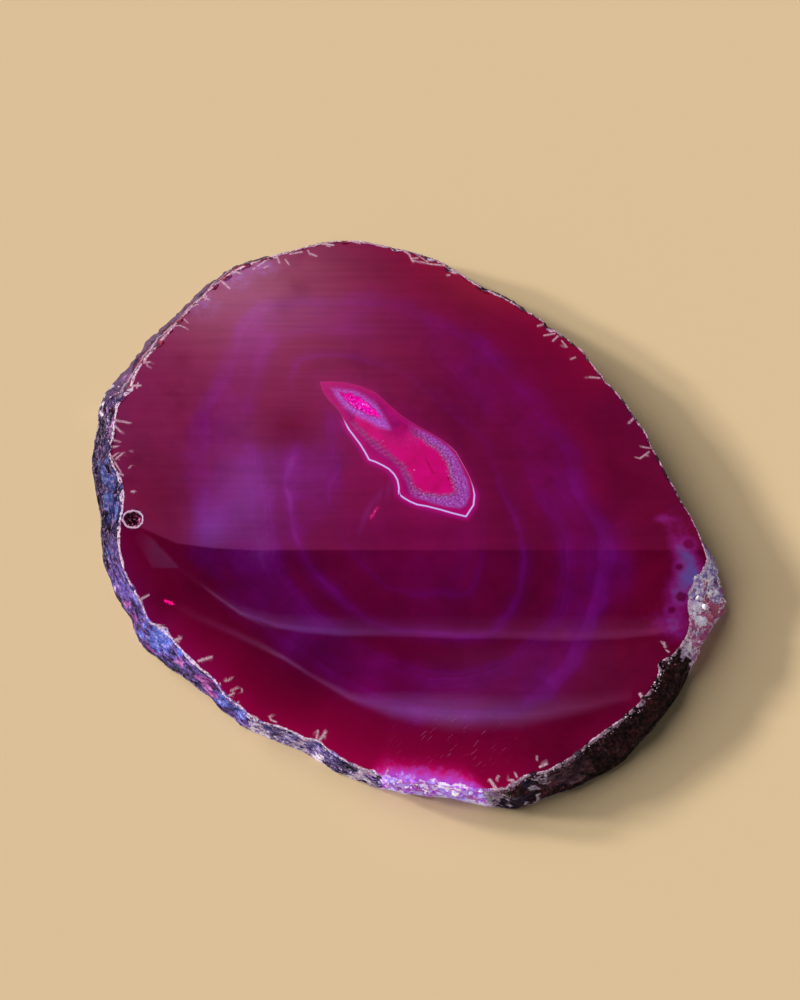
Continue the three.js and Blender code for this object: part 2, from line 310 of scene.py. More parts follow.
# %% [markdown]
# ## Drawing the rings out
# A ring on the face goes to its curve about the heart. A ring on the wall goes where the rays met the model
# at its height, and then gets the small relief that a weathered rind really has: knobs, pits, and shallow
# ledges along the growth layers. The relief is true geometry, because the rind is seen from the side too.
# It fades out at the two sawn faces, which a saw leaves flat.

# %% Draw the rings to the stone
CHIP_SLOPE = 0.9
RELIEF_RADIUS = 48
LOWEST_RAY = 0.02
OVERHANG_LIP = 0.1
CHIPPED_LEVELS = 4
last_face_ring = len(face_rings) - 1
column_rays = rays(column_bearings)
rim_points = HEART_MIDDLE + rim_at[:, None] * column_rays
wall_bearings = bearings_of(rim_points)


def rind_relief(bearing, height):
    """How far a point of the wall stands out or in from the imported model, in mm."""
    level = height / THICKNESS
    fade = min(1.0, level * 9) * min(1.0, (1 - level) * 5)
    turn = math.radians(bearing)
    place = Vector((RELIEF_RADIUS * math.cos(turn), RELIEF_RADIUS * math.sin(turn), height))
    knobs = noise.fractal(place * 0.9, 0.8, 2.1, 4) * 0.28
    layers = noise.noise(Vector((place.x * 0.25, place.y * 0.25, height * 2.6))) * 0.22
    pits = max(0.0, noise.noise(place * 1.3 + Vector((7, 3, 1))) - 0.28) * 0.9
    return (knobs + layers - pits) * fade


def chip_width(place):
    """How far in from the rim the face's edge is crumbled away, in mm."""
    coarse = noise.noise(Vector((place[0] * 0.8, place[1] * 0.8, 11)))
    fine = noise.noise(Vector((place[0] * 2.7, place[1] * 2.7, 4)))
    return max(0.0, 0.16 + coarse * 0.5 + fine * 0.32)


heights = [THICKNESS * (1 - level / SIDE_LEVELS) for level in range(SIDE_LEVELS + 1)]
walls = np.zeros((SIDE_LEVELS + 1, COLUMNS))
for level, height in enumerate(heights):
    reached = min(max(height, LOWEST_RAY), THICKNESS - FACE_EDGE_DEPTH)
    for column, bearing in enumerate(wall_bearings):
        walls[level, column] = wall_distance(bearing, reached) + rind_relief(bearing, height)
        allowed = np.hypot(*rim_points[column]) + OVERHANG_LIP
        walls[level, column] -= overhang(bearing) * max(0.0, walls[level, column] - allowed)

wall_rays = rays(wall_bearings)
low_limit, high_limit = np.array(cad_box) / MM
for vert in slab.verts:
    index = vert[station]
    column = round(math.atan2(vert.co.y, vert.co.x) / (2 * math.pi) * COLUMNS) % COLUMNS
    if index <= last_face_ring:
        place = HEART_MIDDLE + face_rings[index, column] * column_rays[column]
        inward = rim_at[column] - face_rings[index, column]
        height = THICKNESS - max(0.0, chip_width(place) - inward) * CHIP_SLOPE
    elif index <= last_face_ring + SIDE_LEVELS:
        level = index - last_face_ring
        place = walls[level, column] * wall_rays[column]
        height = heights[level]
        if level < CHIPPED_LEVELS:
            height = min(height, THICKNESS - chip_width(rim_points[column]) * CHIP_SLOPE - level * 0.02)
    else:
        share = 1 - (index - last_face_ring - SIDE_LEVELS) / UNDERSIDE_RINGS
        place = walls[SIDE_LEVELS, column] * wall_rays[column] * share
        height = 0.0
    vert.co = Vector(np.clip([place[0], place[1], height], low_limit, high_limit)) * MM
bmesh.ops.recalc_face_normals(slab, faces=slab.faces[:])
if slab.calc_volume(signed=True) < 0:
    bmesh.ops.reverse_faces(slab, faces=slab.faces[:])
print("the slab holds", round(slab.calc_volume() / MM**3 / 1000, 2), "cubic centimetres")

# %% [markdown]
# ## The eye's hollow
# In the heart lies the last open pocket of the nodule, a jagged lens that the saw laid open. Its walls drop
# straight into the stone, which no moving of points gives cleanly, so it is cut with a Boolean: the outline
# is drawn as a flat loop, extruded into a block, and taken away from the slab.

# %% Cut the hollow
EYE_PLACE, EYE_TURN, EYE_DEPTH = Vector((-8.131, 18.574)), math.radians(-32), 1.65
EYE_OUTLINE = [
    (-4, 0.15), (-2.9, 0.35), (-2.4, 0.95), (-1.5, 0.75), (-0.7, 1.15), (0.3, 0.85), (1.2, 0.95),
    (2.1, 0.5), (2.9, 0.55), (4.2, -0.1), (3.1, -0.3), (2.3, -0.75), (1, -0.6), (-0.2, -0.9), (-1.2, -0.6),
    (-2.3, -0.55), (-3.1, -0.15),
]


def placed(points, place, turn_by):
    spin = Matrix.Rotation(turn_by, 2)
    return np.array([spin @ Vector(point) + place for point in points])


def outline_block(name, points, low, high):
    """A block whose plan is the outline, between two heights in mm."""
    block = bmesh.new()
    bmesh.ops.create_circle(block, cap_ends=True, segments=len(points), radius=1)
    for vert, point in zip(sorted(block.verts, key=lambda v: v.index), points):
        vert.co = Vector((point[0], point[1], low)) * MM
    grown = bmesh.ops.extrude_face_region(block, geom=block.faces[:])
    lifted = [item for item in grown["geom"] if isinstance(item, bmesh.types.BMVert)]
    bmesh.ops.translate(block, verts=lifted, vec=(0, 0, (high - low) * MM))
    bmesh.ops.recalc_face_normals(block, faces=block.faces[:])
    return new_piece(name, block)


def new_piece(name, mesh_maker):
    """Turns a bmesh into an object at the origin, linked to the scene."""
    mesh = bpy.data.meshes.new(name)
    mesh_maker.to_mesh(mesh)
    mesh_maker.free()
    piece = bpy.data.objects.new(name, mesh)
    bpy.context.scene.collection.objects.link(piece)
    return piece


eye_outline = placed(EYE_OUTLINE, EYE_PLACE, EYE_TURN)
stone = new_piece("slice_stone", slab)
cutter = outline_block("eye_cutter", eye_outline[::-1], THICKNESS - EYE_DEPTH, THICKNESS + 1)
cut = stone.modifiers.new("hollow", "BOOLEAN")
cut.operation, cut.solver, cut.object = "DIFFERENCE", "EXACT", cutter
bpy.context.view_layer.update()
hollowed = bpy.data.meshes.new_from_object(stone.evaluated_get(bpy.context.evaluated_depsgraph_get()))
stone.modifiers.clear()
stone.data = hollowed
bpy.data.objects.remove(cutter)
print("the hollowed slab has", len(hollowed.polygons), "faces")

# %% [markdown]
# ## Veins, chips and the little vug
# Round the edge, white quartz fills fine cracks that run a little way into the face, and a pea-sized vug
# opens near the left rim. The grid of the face is too wide for either, so the faces around them, and only
# those, are subdivided first. The vug is then pressed into the finer grid as a rough bowl.

# %% Veins at the edge, and the vug
# The veins are strokes: start, end and width in pixels of the photograph
EDGE_VEINS = [
    (128, 386, 140, 385.5, 2.2), (138, 383, 137, 388, 1.4), (114, 420, 130, 423, 1.8),
    (115, 426, 121, 432, 1.6), (113, 440, 121, 442, 1.3), (112, 447, 117, 446.5, 1.5),
    (111, 458, 118, 453, 1.4), (116, 459, 123, 453, 1.6), (109, 462, 118, 473, 1.2),
    (112, 458, 121, 472, 1.4), (119, 473.5, 123, 475, 1.6), (131, 450.5, 131, 451.5, 1.6),
    (129, 468, 131, 466, 1.4), (132, 491.5, 135, 491.5, 1.8), (128, 392, 121, 397, 1.3),
    (134, 370, 134, 380, 1.4), (139, 600, 149, 595, 1.6), (151, 626, 156, 624.5, 1.2),
    (156, 624.5, 161, 625, 1.2), (161, 625, 165, 632, 1.2), (165, 632, 172, 641, 1.3),
    (173, 641, 181, 638, 2.6), (199, 661, 212, 657, 2.6), (227, 681, 231, 678.5, 1.5),
    (220, 683, 220, 688, 1.2), (231, 691, 235, 689, 1.5), (227, 697, 234, 693, 1.8),
    (242, 689.5, 242, 692, 1.4), (236, 704, 239, 702, 1.3), (252, 716, 257, 718, 2),
    (270, 717, 271, 720, 1.6), (271, 720, 276, 722, 1.6), (318, 731, 316, 741, 2.2),
    (325, 733, 319, 741, 2.4), (262, 723, 275, 726, 1.3), (388, 770, 386, 774, 1.5),
    (404, 251, 409, 254, 1.6), (409, 254, 413, 262, 1.6), (411, 258.5, 418, 258, 1.3),
    (412, 260, 430, 264, 1.5), (430, 264, 445, 265.5, 1.5), (447, 275, 449.5, 275, 1.4),
    (452, 272, 456, 273, 2.6), (492, 292, 495, 290, 1.3), (376, 245, 385, 247, 1.4),
    (385, 247, 394, 246.5, 1.4), (355, 241, 360, 243, 1.4), (430, 258, 446, 264, 1.1),
    (416, 254, 428, 262, 1), (538, 326, 546, 323.5, 1.5), (544, 335.5, 555, 333.5, 1.3),
    (553, 341, 558, 336, 1.5), (562, 341, 567, 347, 1.2), (571, 359, 575, 357.5, 1.3),
    (589, 377, 600, 378, 1.3), (629, 423, 634, 418, 2), (645, 447.5, 650, 448, 1.2),
    (640, 458.5, 649, 452, 1.4), (664, 642, 665, 647, 1.6), (666, 650, 669, 652, 1.4),
    (659, 666, 664, 663, 2.4), (640, 694, 645, 701, 3), (537, 756, 537, 760, 1.4),
    (540, 767, 547, 764, 2.2), (515, 773, 517, 777, 1.6), (509, 780, 513, 780, 2),
    (497, 778, 499, 776, 1.5), (490, 780, 497, 790, 3), (142, 363, 150, 362, 1.5),
    (145, 359.5, 147.5, 366, 1.2), (160, 340, 164, 339, 1.3), (173, 326, 180, 325.5, 1.2),
    (180, 325.5, 186, 328, 1.2), (184.5, 319.5, 187.5, 322.5, 1.1), (191, 305.5, 198, 304.5, 1.2),
    (202, 296.5, 209, 299.5, 1.5), (207, 296, 205, 300, 1.1), (221.5, 281, 229.5, 288.3, 1.9),
    (236, 272, 241, 273.5, 1.6), (251, 263, 259, 260, 1.7), (253, 269, 255, 268, 1.2),
    (258, 266, 268, 259, 1.6), (264, 268, 268, 266, 1.2), (268, 259, 277, 257, 1.7),
    (277, 256.5, 279.5, 263, 1.7), (285.4, 259.5, 289, 264.5, 1.3), (290, 254, 302, 252, 1.5),
    (308, 250.5, 310, 254.5, 1.2), (311, 254, 316.5, 256, 1.6), (322, 243.8, 333.5, 245, 1.8),
    (327, 246, 330, 246.5, 1.2), (352, 241.5, 360, 243.5, 1.2), (374, 242.5, 381, 245.5, 1.2),
]
VUG_PLACE, VUG_RADIUS, VUG_DEPTH = np.array((-45.7, -1.6)), np.array((1.4, 1.2)), 1.3
FACE_LEVEL = THICKNESS - 0.005
NEAR_VEIN, NEAR_VUG = 0.75, 1.7


def split_strokes(table):
    """Starts and ends in mm on the face, from strokes in pixels."""
    strokes = np.array(table, float)
    return on_face(strokes[:, :2]), on_face(strokes[:, 2:4])


def stroke_distances(points, starts, ends):
    """The distance from each point to each straight stroke, as an array of points by strokes."""
    along = ends - starts
    length = np.maximum((along**2).sum(-1), 1e-9)
    share = ((points[:, None] - starts) * along).sum(-1) / length
    nearest = starts + np.clip(share, 0, 1)[..., None] * along
    return np.hypot(*np.moveaxis(points[:, None] - nearest, -1, 0))


def subdivide_near(maker, close, cuts):
    """Cuts the edges of the polished face between points that are close."""
    maker.verts.ensure_lookup_table()
    points = np.array([vert.co[:] for vert in maker.verts]) / MM
    chosen = (points[:, 2] > FACE_LEVEL) & close(points[:, :2])
    edges = [edge for edge in maker.edges if all(chosen[vert.index] for vert in edge.verts)]
    bmesh.ops.subdivide_edges(maker, edges=edges, cuts=cuts, use_grid_fill=True)
    maker.verts.index_update()
    return len(edges)


def near_veins(points):
    return stroke_distances(points, *split_strokes(EDGE_VEINS)).min(1) < NEAR_VEIN


def near_vug(points):
    return np.hypot(*((points - VUG_PLACE) / VUG_RADIUS).T) < NEAR_VUG


def vug_spread(place):
    """How far out a place lies from the vug's middle, 1 on its ragged edge."""
    arm = (place[:2] - VUG_PLACE) / VUG_RADIUS
    return math.hypot(*arm) + noise.noise(Vector((place[0] * 1.1, place[1] * 1.1, 8))) * 0.16


detail = bmesh.new()
detail.from_mesh(stone.data)
detail.verts.index_update()
print("cut", subdivide_near(detail, near_veins, 2), "edges by the veins")
print("cut", subdivide_near(detail, near_vug, 3), "edges by the vug")

for vert in detail.verts:
    place = np.array(vert.co) / MM
    spread = vug_spread(place)
    if place[2] >= FACE_LEVEL and spread < 1:
        rough = noise.fractal(Vector(place) * 2.2, 0.7, 2, 3) * 0.18
        vert.co.z -= max(0.0, (1 - spread**2.4) * VUG_DEPTH + rough * (1 - spread)) * MM
detail.to_mesh(stone.data)
detail.free()
print("the stone has", len(stone.data.polygons), "faces")

# %% [markdown]
# ## What the stone knows about itself
# The colours follow the stone's own structure, so each point of the mesh is told where it lies: how far out
# between the bands, how far from the heart's edge, from the rim, from a vein. These are stored as
# attributes. A material can then draw a line as thin as it likes at a distance of zero, which no painted
# point could hold. Inside the heart three more outlines count: the crystal layer, the solid core, and the
# halo of the eye.

# %% Outlines inside the heart, and places on the face
CRYSTAL_LAYER_EDGE = [
    (401, 418), (412, 424), (425, 431), (440, 440), (450, 448), (456, 455), (460, 463), (464, 472),
    (468, 480), (470, 490), (469, 500), (466, 506), (461, 509), (450, 508), (440, 506), (430, 503),
    (420, 500), (412, 497), (408, 492), (406, 486), (403, 480), (400, 473), (396, 467), (390, 461),
    (382, 455), (374, 449), (368, 443), (362, 437), (356, 431), (351, 426), (349, 421), (360, 421),
    (375, 428), (391, 432), (397, 424),
]
CORE_EDGE = [
    (391, 430), (402, 424), (408, 428), (414, 435), (422, 440), (430, 445), (438, 450), (444, 457),
    (448, 465), (450, 475), (454, 485), (455, 492), (448, 494), (440, 495), (432, 494), (424, 493),
    (417, 489), (412, 481), (410, 473), (405, 466), (397, 459), (390, 453), (383, 447), (377, 441),
    (371, 437), (364, 431), (358, 425), (354, 420), (356, 412), (375, 420),
]
HALO_EDGE = [
    (331, 388), (340, 388.5), (352, 390), (362, 394), (370, 399), (374, 401), (378, 406), (382, 412),
    (386, 419), (390, 426), (391, 430), (386, 430), (378, 428), (370, 423), (360, 418), (352, 414),
    (346, 409), (340, 403), (335, 396),
]
COMB_TEETH = [
    (352, 424, 355, 426), (355, 430, 360, 427), (359, 433, 364, 430), (362, 436, 368, 433),
    (366, 440, 373, 437), (369, 443, 377, 440), (372, 446, 381, 443), (376, 449, 385, 446),
    (380, 452, 387, 450), (385, 455, 392, 455), (391, 459, 397, 458), (396, 463, 403, 463),
    (400, 469, 407, 467), (403, 474, 410, 472),
]
LOBE_STROKES = [
    (363, 526, 366, 515), (366, 515, 370, 506), (370, 506, 376, 498), (376, 498, 383, 493),
    (383, 493, 389, 488),
]
BUBBLES = [(679, 567, 4.5), (681, 597, 6), (671, 610, 4.5), (688, 544, 6)]


def outline_distance(points, outline):
    """Signed distance to a closed outline in mm, negative inside."""
    starts, ends = outline, np.roll(outline, -1, axis=0)
    distance = stroke_distances(points, starts, ends).min(1)
    x, y = points[:, :1], points[:, 1:]
    crosses = (starts[:, 1] > y) != (ends[:, 1] > y)
    rise = np.where(ends[:, 1] == starts[:, 1], 1e-9, ends[:, 1] - starts[:, 1])
    crossed_at = starts[:, 0] + (y - starts[:, 1]) / rise * (ends - starts)[:, 0]
    inside = (crosses & (x < crossed_at)).sum(1) % 2 == 1
    return np.where(inside, -distance, distance)


def in_parts(function, points, size=1500):
    """Runs a function over some points at a time, which keeps its arrays small."""
    return np.concatenate([function(points[start : start + size]) for start in range(0, len(points), size)])


def bump(value, low, high):
    """0 below low, 1 above high, eased between."""
    share = np.clip((value - low) / (high - low), 0, 1)
    return share * share * (3 - 2 * share)


def window(bearings, start, end, soft):
    """1 between two bearings, eased to 0 at both ends; the bearings run on past 360 where needed."""
    middle, half = (start + end) / 2, (end - start) / 2
    away = np.abs((bearings - middle + 180) % 360 - 180)
    return 1 - bump(away, half - soft, half + soft)


def windows(bearings, *table):
    """A sum of windows: start, end, softness and strength."""
    return sum(strength * window(bearings, start, end, soft) for start, end, soft, strength in table)


def blots(points, *table):
    """A sum of soft round spots in the photograph: x, y, radius in pixels, squeeze and strength."""
    total = 0
    for x, y, radius, squeeze, strength in table:
        arm = (points - on_face([(x, y)])[0]) / (radius * PIXEL)
        arm[:, 1] /= squeeze
        total = total + strength * np.exp(-(arm**2).sum(1))
    return total


def mesh_values(items, name, width=3):
    """What a mesh holds for each of its items, as rows."""
    values = np.zeros(len(items) * width)
    items.foreach_get(name, values)
    return values.reshape(-1, width)


# %% Tell every point where it lies
mesh = stone.data
points = mesh_values(mesh.vertices, "co") / MM
flat = points[:, :2]
arms = flat - HEART_MIDDLE
bearing = bearings_of(arms)
reach = np.hypot(*arms.T)
curves = all_curves(bearing)
band = np.zeros(len(points))
for inner, outer in zip(curves, curves[1:]):
    band += np.clip((reach - inner) / np.maximum(outer - inner, 0.05), 0, 1)


def mm_from(outline):
    return in_parts(lambda part: outline_distance(part, outline), flat)


def stroke_mask(table, width, blur):
    """1 on strokes of a width in pixels, 0 off them, with a border as soft as the blur in mm."""
    starts, ends = split_strokes(table)
    half = np.asarray(width) * PIXEL / 2
    away = in_parts(lambda part: (stroke_distances(part, starts, ends) - half).min(1), flat)
    return 1 - bump(away, -blur, blur)


facts = {
    "band": band,
    "heart_mm": mm_from(heart_outline),
    "rim_mm": -mm_from(face_edge[::2]),
    "layer_mm": mm_from(on_face(CRYSTAL_LAYER_EDGE)),
    "core_mm": mm_from(on_face(CORE_EDGE)),
    "halo_mm": mm_from(on_face(HALO_EDGE)),
    "eye_mm": mm_from(eye_outline),
    "vein": stroke_mask(EDGE_VEINS, [width * 0.95 for *_, width in EDGE_VEINS], 0.1),
    "teeth": stroke_mask(COMB_TEETH, 0.8, 0.09),
    "lobe": stroke_mask(LOBE_STROKES, 5, 0.5),
    "vug_mm": (np.array([vug_spread(place) for place in flat]) - 1) * VUG_RADIUS[0],
}
inside_rim = np.maximum(facts["rim_mm"], 0)
facts["edge_mm"] = inside_rim + THICKNESS - points[:, 2]
print("told", len(points), "points", len(facts), "facts each")

# %% [markdown]
# ## Zones that no distance gives
# Some things are only where they are: the lavender patch on the left, the cloudy chalcedony by the right
# tip, the stretch of the lower rim that glows because light comes through it, and the changing colours of
# the rind. Each is a soft mask, made of round blots on the face or of windows between two bearings on the
# wall.

# %% Masks for the zones
# Blots: x, y, radius in pixels, squeeze and strength
PURPLE_BLOTS = [
    (258, 560, 40, 0.55, 0.4), (262, 600, 26, 0.6, 0.25), (335, 478, 8, 3.2, 0.35), (320, 500, 10, 3, 0.25),
    (205, 588, 26, 1.3, -0.5), (248, 640, 24, 0.9, -0.4), (300, 640, 30, 0.4, 0.25),
    (340, 622, 40, 0.3, 0.25), (585, 625, 24, 1.7, 0.15), (545, 690, 26, 0.9, 0.2),
    (624, 568, 12, 2.6, 0.45), (584, 598, 11, 1.6, -0.25), (320, 590, 26, 0.6, 0.15),
    (262, 345, 16, 3.4, 0.35), (198, 420, 20, 1.6, -0.3), (334, 424, 10, 1.4, 0.4),
    (365, 664, 26, 0.5, 0.2), (540, 485, 16, 1, -0.15), (560, 655, 15, 1, -0.15), (300, 468, 24, 1.5, 0.3),
    (328, 462, 9, 3, 0.3), (262, 556, 14, 1.6, 0.25), (240, 300, 20, 1.4, 0.25), (430, 615, 40, 0.4, 0.2),
    (292, 428, 20, 1.2, -0.35), (408, 470, 9, 1, 0.1),
]
CHALCEDONY_BLOTS = [
    (689, 562, 12, 1.2, 0.75), (690, 578, 13, 0.8, 0.95), (683, 596, 8, 1.4, 0.6), (664, 624, 15, 1, 0.4),
    (664, 519, 9, 0.6, 0.5), (680, 548, 10, 1.1, 0.5), (673, 594, 10, 1.6, 0.45), (676, 530, 12, 1.6, 0.25),
    (680, 625, 12, 1.6, 0.4),
]
# Stretches of the rind: bearings from and to, shares of the height from and to, and strength
RIND_STRETCHES = {
    "wall_deep": [(170.8, 181.5, 0.55, 1.1, 1), (182, 189, 0.1, 0.8, 0.5), (210.5, 216, 0.1, 0.6, 0.8)],
    "wall_bright": [
        (189, 203, 0.4, 1.1, 0.35), (204, 210.5, 0.3, 1.1, 1), (211, 216, 0.6, 1.1, 0.6),
        (225, 231.5, 0.2, 1, 0.8), (231.6, 234, 0.3, 1.1, 0.9),
    ],
    # The dark stretches from 150 to 236 degrees that reach down to the foot of the wall are painted shade
    # there, with some dark pits in it; the other dark stretches are stains and pits.
    "wall_dark_and_foot_shade": [
        (150, 190, -0.1, 0.45, 0.9), (156, 170, -0.1, 0.75, 0.5), (171, 178, -0.1, 0.5, 0.9),
        (182, 236, -0.1, 0.14, 0.7), (210.5, 215.5, -0.1, 0.4, 0.6), (215.7, 219.7, 0.45, 0.95, 0.5),
        (237.2, 240.6, 0.1, 0.8, 0.6), (252.5, 259, 0, 0.85, 0.7), (262, 263.4, 0.1, 0.9, 1),
        (287.5, 291, 0, 0.6, 1), (290.5, 294.6, 0.2, 0.9, 1),
    ],
    "wall_pink": [
        (153, 158, 0.6, 1.1, 0.5), (160.5, 165.5, 0.5, 1.1, 0.4), (197, 203, 0.1, 0.6, 0.6),
        (206, 209, 0, 0.4, 0.6), (213, 216, 0.5, 0.9, 0.7), (219.5, 224.2, 0.1, 0.9, 1),
        (264.5, 286, 0.2, 0.8, 0.5),
    ],
    "wall_rose": [(339, 344.4, 0.15, 0.85, 1)],
    "wall_mauve": [(333.5, 341, 0, 1.1, 1)],
    "wall_pale": [(236, 264, -0.1, 1.1, 1)],
    "wall_grey": [(295, 306, 0.35, 1.1, 0.9)],
    "wall_frost": [(342, 356, 0.3, 1.1, 1)],
    # The first two white stretches, on the left wall, are painted glints; the rest are white crust and
    # crumbs.
    "wall_crust_and_glints": [
        (153.6, 155.8, 0, 0.5, 0.7), (158.2, 161.2, 0.1, 0.6, 0.7), (233.8, 237, 0, 1.1, 0.8),
        (237, 262, -0.1, 0.2, 0.6), (245, 247.5, 0.3, 1.1, 0.8), (249.3, 252.2, 0, 0.6, 0.8),
        (259, 262.2, 0, 1.1, 0.9), (265, 284, -0.1, 0.2, 0.7), (284.8, 288.4, 0, 1.1, 0.8),
        (291.5, 294, -0.1, 0.25, 0.9), (294.6, 297, 0.6, 1.1, 0.8), (331.2, 334, 0, 1.1, 0.8),
        (337.5, 343, 0.75, 1.1, 1), (344, 348, 0.55, 0.8, 0.7),
    ],
}
drift = np.array([
    noise.noise(Vector(point) * 0.55) * 3.4 + noise.noise(Vector(point) * 1.7) * 1.6 for point in points
])
wall_bearing = bearings_of(flat)
ragged_bearing = wall_bearing + drift
ragged_level = points[:, 2] / THICKNESS + 0.08 * drift


def stretch_of_rind(start, end, low, high, strength):
    """A soft mask over one stretch of the wall, with ragged borders."""
    above = bump(ragged_level, low - 0.06, low + 0.06)
    below = 1 - bump(ragged_level, high - 0.06, high + 0.06)
    return strength * window(ragged_bearing, start, end, 0.8) * above * below


narrowing = np.maximum(band - 2, 0)
lavender = window(bearing + drift, 179 + 3 * narrowing, 226 - 4 * narrowing, 4)
lavender *= bump(band, 0.8, 2.0) * (1 - bump(band, 2.9, 4.0)) * (1 + 0.16 * drift)
bare = windows(bearing, (150, 180, 8, 0.3)) * bump(band, 1.4, 2.0) * (1 - bump(band, 2.8, 3.2))
facts |= {
    "patch": blots(flat, *PURPLE_BLOTS) + 0.42 * lavender - windows(bearing, (-15, 105, 12, 0.06)) - bare,
    "even": windows(bearing, (-22, 118, 14, 0.75)),
    "lines": windows(bearing, (256, 346, 8, 0.12), (196, 226, 8, 0.2)),
    "dim": (
        windows(bearing, (203, 258, 8, 0.3)) * bump(band, 2.4, 3.6) * (1 - bump(band, 4.2, 4.8))
        + windows(wall_bearing, (-12, 36, 7, 0.2)) * bump(band, 4.15, 4.5)
        + blots(flat, (600, 682, 26, 1, 0.3), (338, 672, 22, 1, 0.18))
    ),
    "ruddy": windows(wall_bearing, (34, 92, 7, 0.75)) * np.exp(-inside_rim / 2.6),
    "frost": blots(flat, (262, 267, 13, 0.6, 0.5), (236, 279, 14, 0.7, 0.4), (205, 305, 14, 0.9, 0.3)),
    "cloud": np.clip(blots(flat, *CHALCEDONY_BLOTS), 0, 1),
    "glow": windows(wall_bearing, (263.5, 284, 3.5, 1)) * np.exp(-inside_rim / 2.6),
    "warm": (
        windows(wall_bearing, (250, 292, 10, 1)) * np.exp(-inside_rim / 6.5)
        + windows(wall_bearing, (208, 250, 8, 0.8)) * np.exp(-inside_rim / 4)
    ),
    "magenta": windows(wall_bearing, (186, 226, 8, 1)) * np.exp(-inside_rim / 1.8),
    "scratched": np.clip(blots(flat, (460, 742, 42, 0.5, 1.6)), 0, 1),
    "smudge": blots(
        flat, (301, 290, 13, 1.1, 0.3), (284, 306, 12, 0.9, 0.26),
        (205, 422, 13, 0.8, 0.3), (182, 360, 10, 1, 0.3),
    ),
    "olive": 1 - bump(flat[:, 0], *on_face([(398, 480), (428, 480)])[:, 0]),
    "calm": np.clip(blots(flat, (399, 428, 15, 1, 1.3)), 0, 1),
    "line_weight": np.clip(windows(bearing, (158, 326, 8, 1), (326, 362, 10, 0.16)) + 0.24, 0, 1),
    "wall_blue": windows(ragged_bearing, (150, 190, 4, 1), (236, 264, 3, 1)),
    "wall_lilac": windows(ragged_bearing, (188, 236, 4, 1)),
    "wall_glow": windows(ragged_bearing, (263, 285.5, 1, 1)),
    "wall_brown": windows(ragged_bearing, (289, 331.6, 1, 1)),
    "wall_quartz": windows(ragged_bearing, (331, 352, 2, 1)),
    "wall_striped": windows(ragged_bearing, (95, 156, 4, 1)),
    "wall_lit": windows(
        ragged_bearing, (263, 286, 1.5, 0.9), (206, 263, 8, 0.6), (286, 300, 4, 0.3), (331, 352, 3, 0.6)
    ),
    "fringe": 0.04 + windows(
        wall_bearing, (289, 333, 4, 0.24), (225, 262, 6, 0.14), (20, 100, 8, 0.06), (286, 292, 2, 0.3),
        (264, 285, 3, -0.1), (100, 125, 5, 0.06),
    ),
    "edge_line": 0.9 - windows(wall_bearing, (264, 286, 3, 0.8), (125, 150, 6, 0.3)),
}
facts |= {name: sum(stretch_of_rind(*row) for row in rows) for name, rows in RIND_STRETCHES.items()}
for name, values in facts.items():
    store = mesh.attributes.new(name, "FLOAT", "POINT")
    store.data.foreach_set("value", np.ascontiguousarray(values, np.float32))
print("stored", ", ".join(sorted(facts)))

# %% [markdown]
# ## Face, wall and underside
# The three surfaces of a slice come from three ways of working it: polished, left rough, and only sawn.
# They share one mesh but not one finish, so each face of the mesh is given its material slot by its height
# and by which way it looks.

# %% Which surface each face belongs to
POLISHED, RIND, SAWN, HOLLOW = range(4)
SKIN, DOWNWARD, HOLLOW_FLOOR = 0.02, -0.9, 4
middles = mesh_values(mesh.polygons, "center") / MM
upward = mesh_values(mesh.polygons, "normal")[:, 2]
surface = np.full(len(middles), RIND)
surface[middles[:, 2] > THICKNESS - SKIN] = POLISHED
surface[(middles[:, 2] < SKIN) & (upward < DOWNWARD)] = SAWN
in_eye = outline_distance(middles[:, :2], eye_outline) < 0.3
in_vug = np.array([vug_spread(middle) < 1.3 for middle in middles])
surface[(surface == RIND) & (in_eye | in_vug) & (middles[:, 2] > HOLLOW_FLOOR) & (upward > -0.5)] = HOLLOW
mesh.polygons.foreach_set("material_index", surface.astype(np.int32))
mesh.polygons.foreach_set("use_smooth", np.isin(surface, (RIND, HOLLOW)))
mesh.set_sharp_from_angle(angle=math.radians(55))
mesh.update()
print("faces per surface:", np.bincount(surface).tolist())

# %% [markdown]
# ## Small helpers for materials
# A material is a tree of nodes. A signal is one output in such a tree, and a recipe can reckon with it as
# with a number: each sum or product puts a Math node in. The helpers put in one node each, feed it and hand
# back its signal, so that a recipe below reads like one. Colours are given as a paint chart would, from 0
# to 255.

# %% Node helpers
class Signal:
    """An output in a tree of nodes, with which a recipe can reckon."""

    def __init__(self, socket):
        self.socket = socket
        self.tree = socket.id_data

    def __add__(self, other):
        return maths("ADD", self, other)

    def __sub__(self, other):
        return maths("SUBTRACT", self, other)

    def __rsub__(self, other):
        return maths("SUBTRACT", other, self)

    def __mul__(self, other):
        return maths("MULTIPLY", self, other)

    def __truediv__(self, other):
        return maths("DIVIDE", self, other)

    def __rtruediv__(self, other):
        return maths("DIVIDE", other, self)

    def __abs__(self):
        return maths("ABSOLUTE", self)


def feed(socket, value):
    """Gives a socket a signal or a constant."""
    if isinstance(value, Signal):
        value.tree.links.new(value.socket, socket)
    else:
        socket.default_value = value


def put(tree, kind, **settings):
    """A new node in a tree, with its settings."""
    made = tree.nodes.new(kind)
    for name, value in settings.items():
        setattr(made, name, value)
    return made


def node(kind, inputs, output=0, **settings):
    """Puts a node beside the signals that feed it, and hands back one of its outputs."""
    tree = next(value.tree for value in inputs.values() if isinstance(value, Signal))
    made = put(tree, kind, **settings)
    for name, value in inputs.items():
        feed(made.inputs[name], value)
    return Signal(made.outputs[output])


def maths(operation, *values, clamp=False):
    return node("ShaderNodeMath", dict(enumerate(values)), operation=operation, use_clamp=clamp)


def vectors(operation, *values, output="Vector"):
    return node("ShaderNodeVectorMath", dict(enumerate(values)), output, operation=operation)


def scaled(vector, amount):
    return node("ShaderNodeVectorMath", {0: vector, "Scale": amount}, operation="SCALE")


def part_of(vector, axis):
    return node("ShaderNodeSeparateXYZ", {0: vector}, axis)


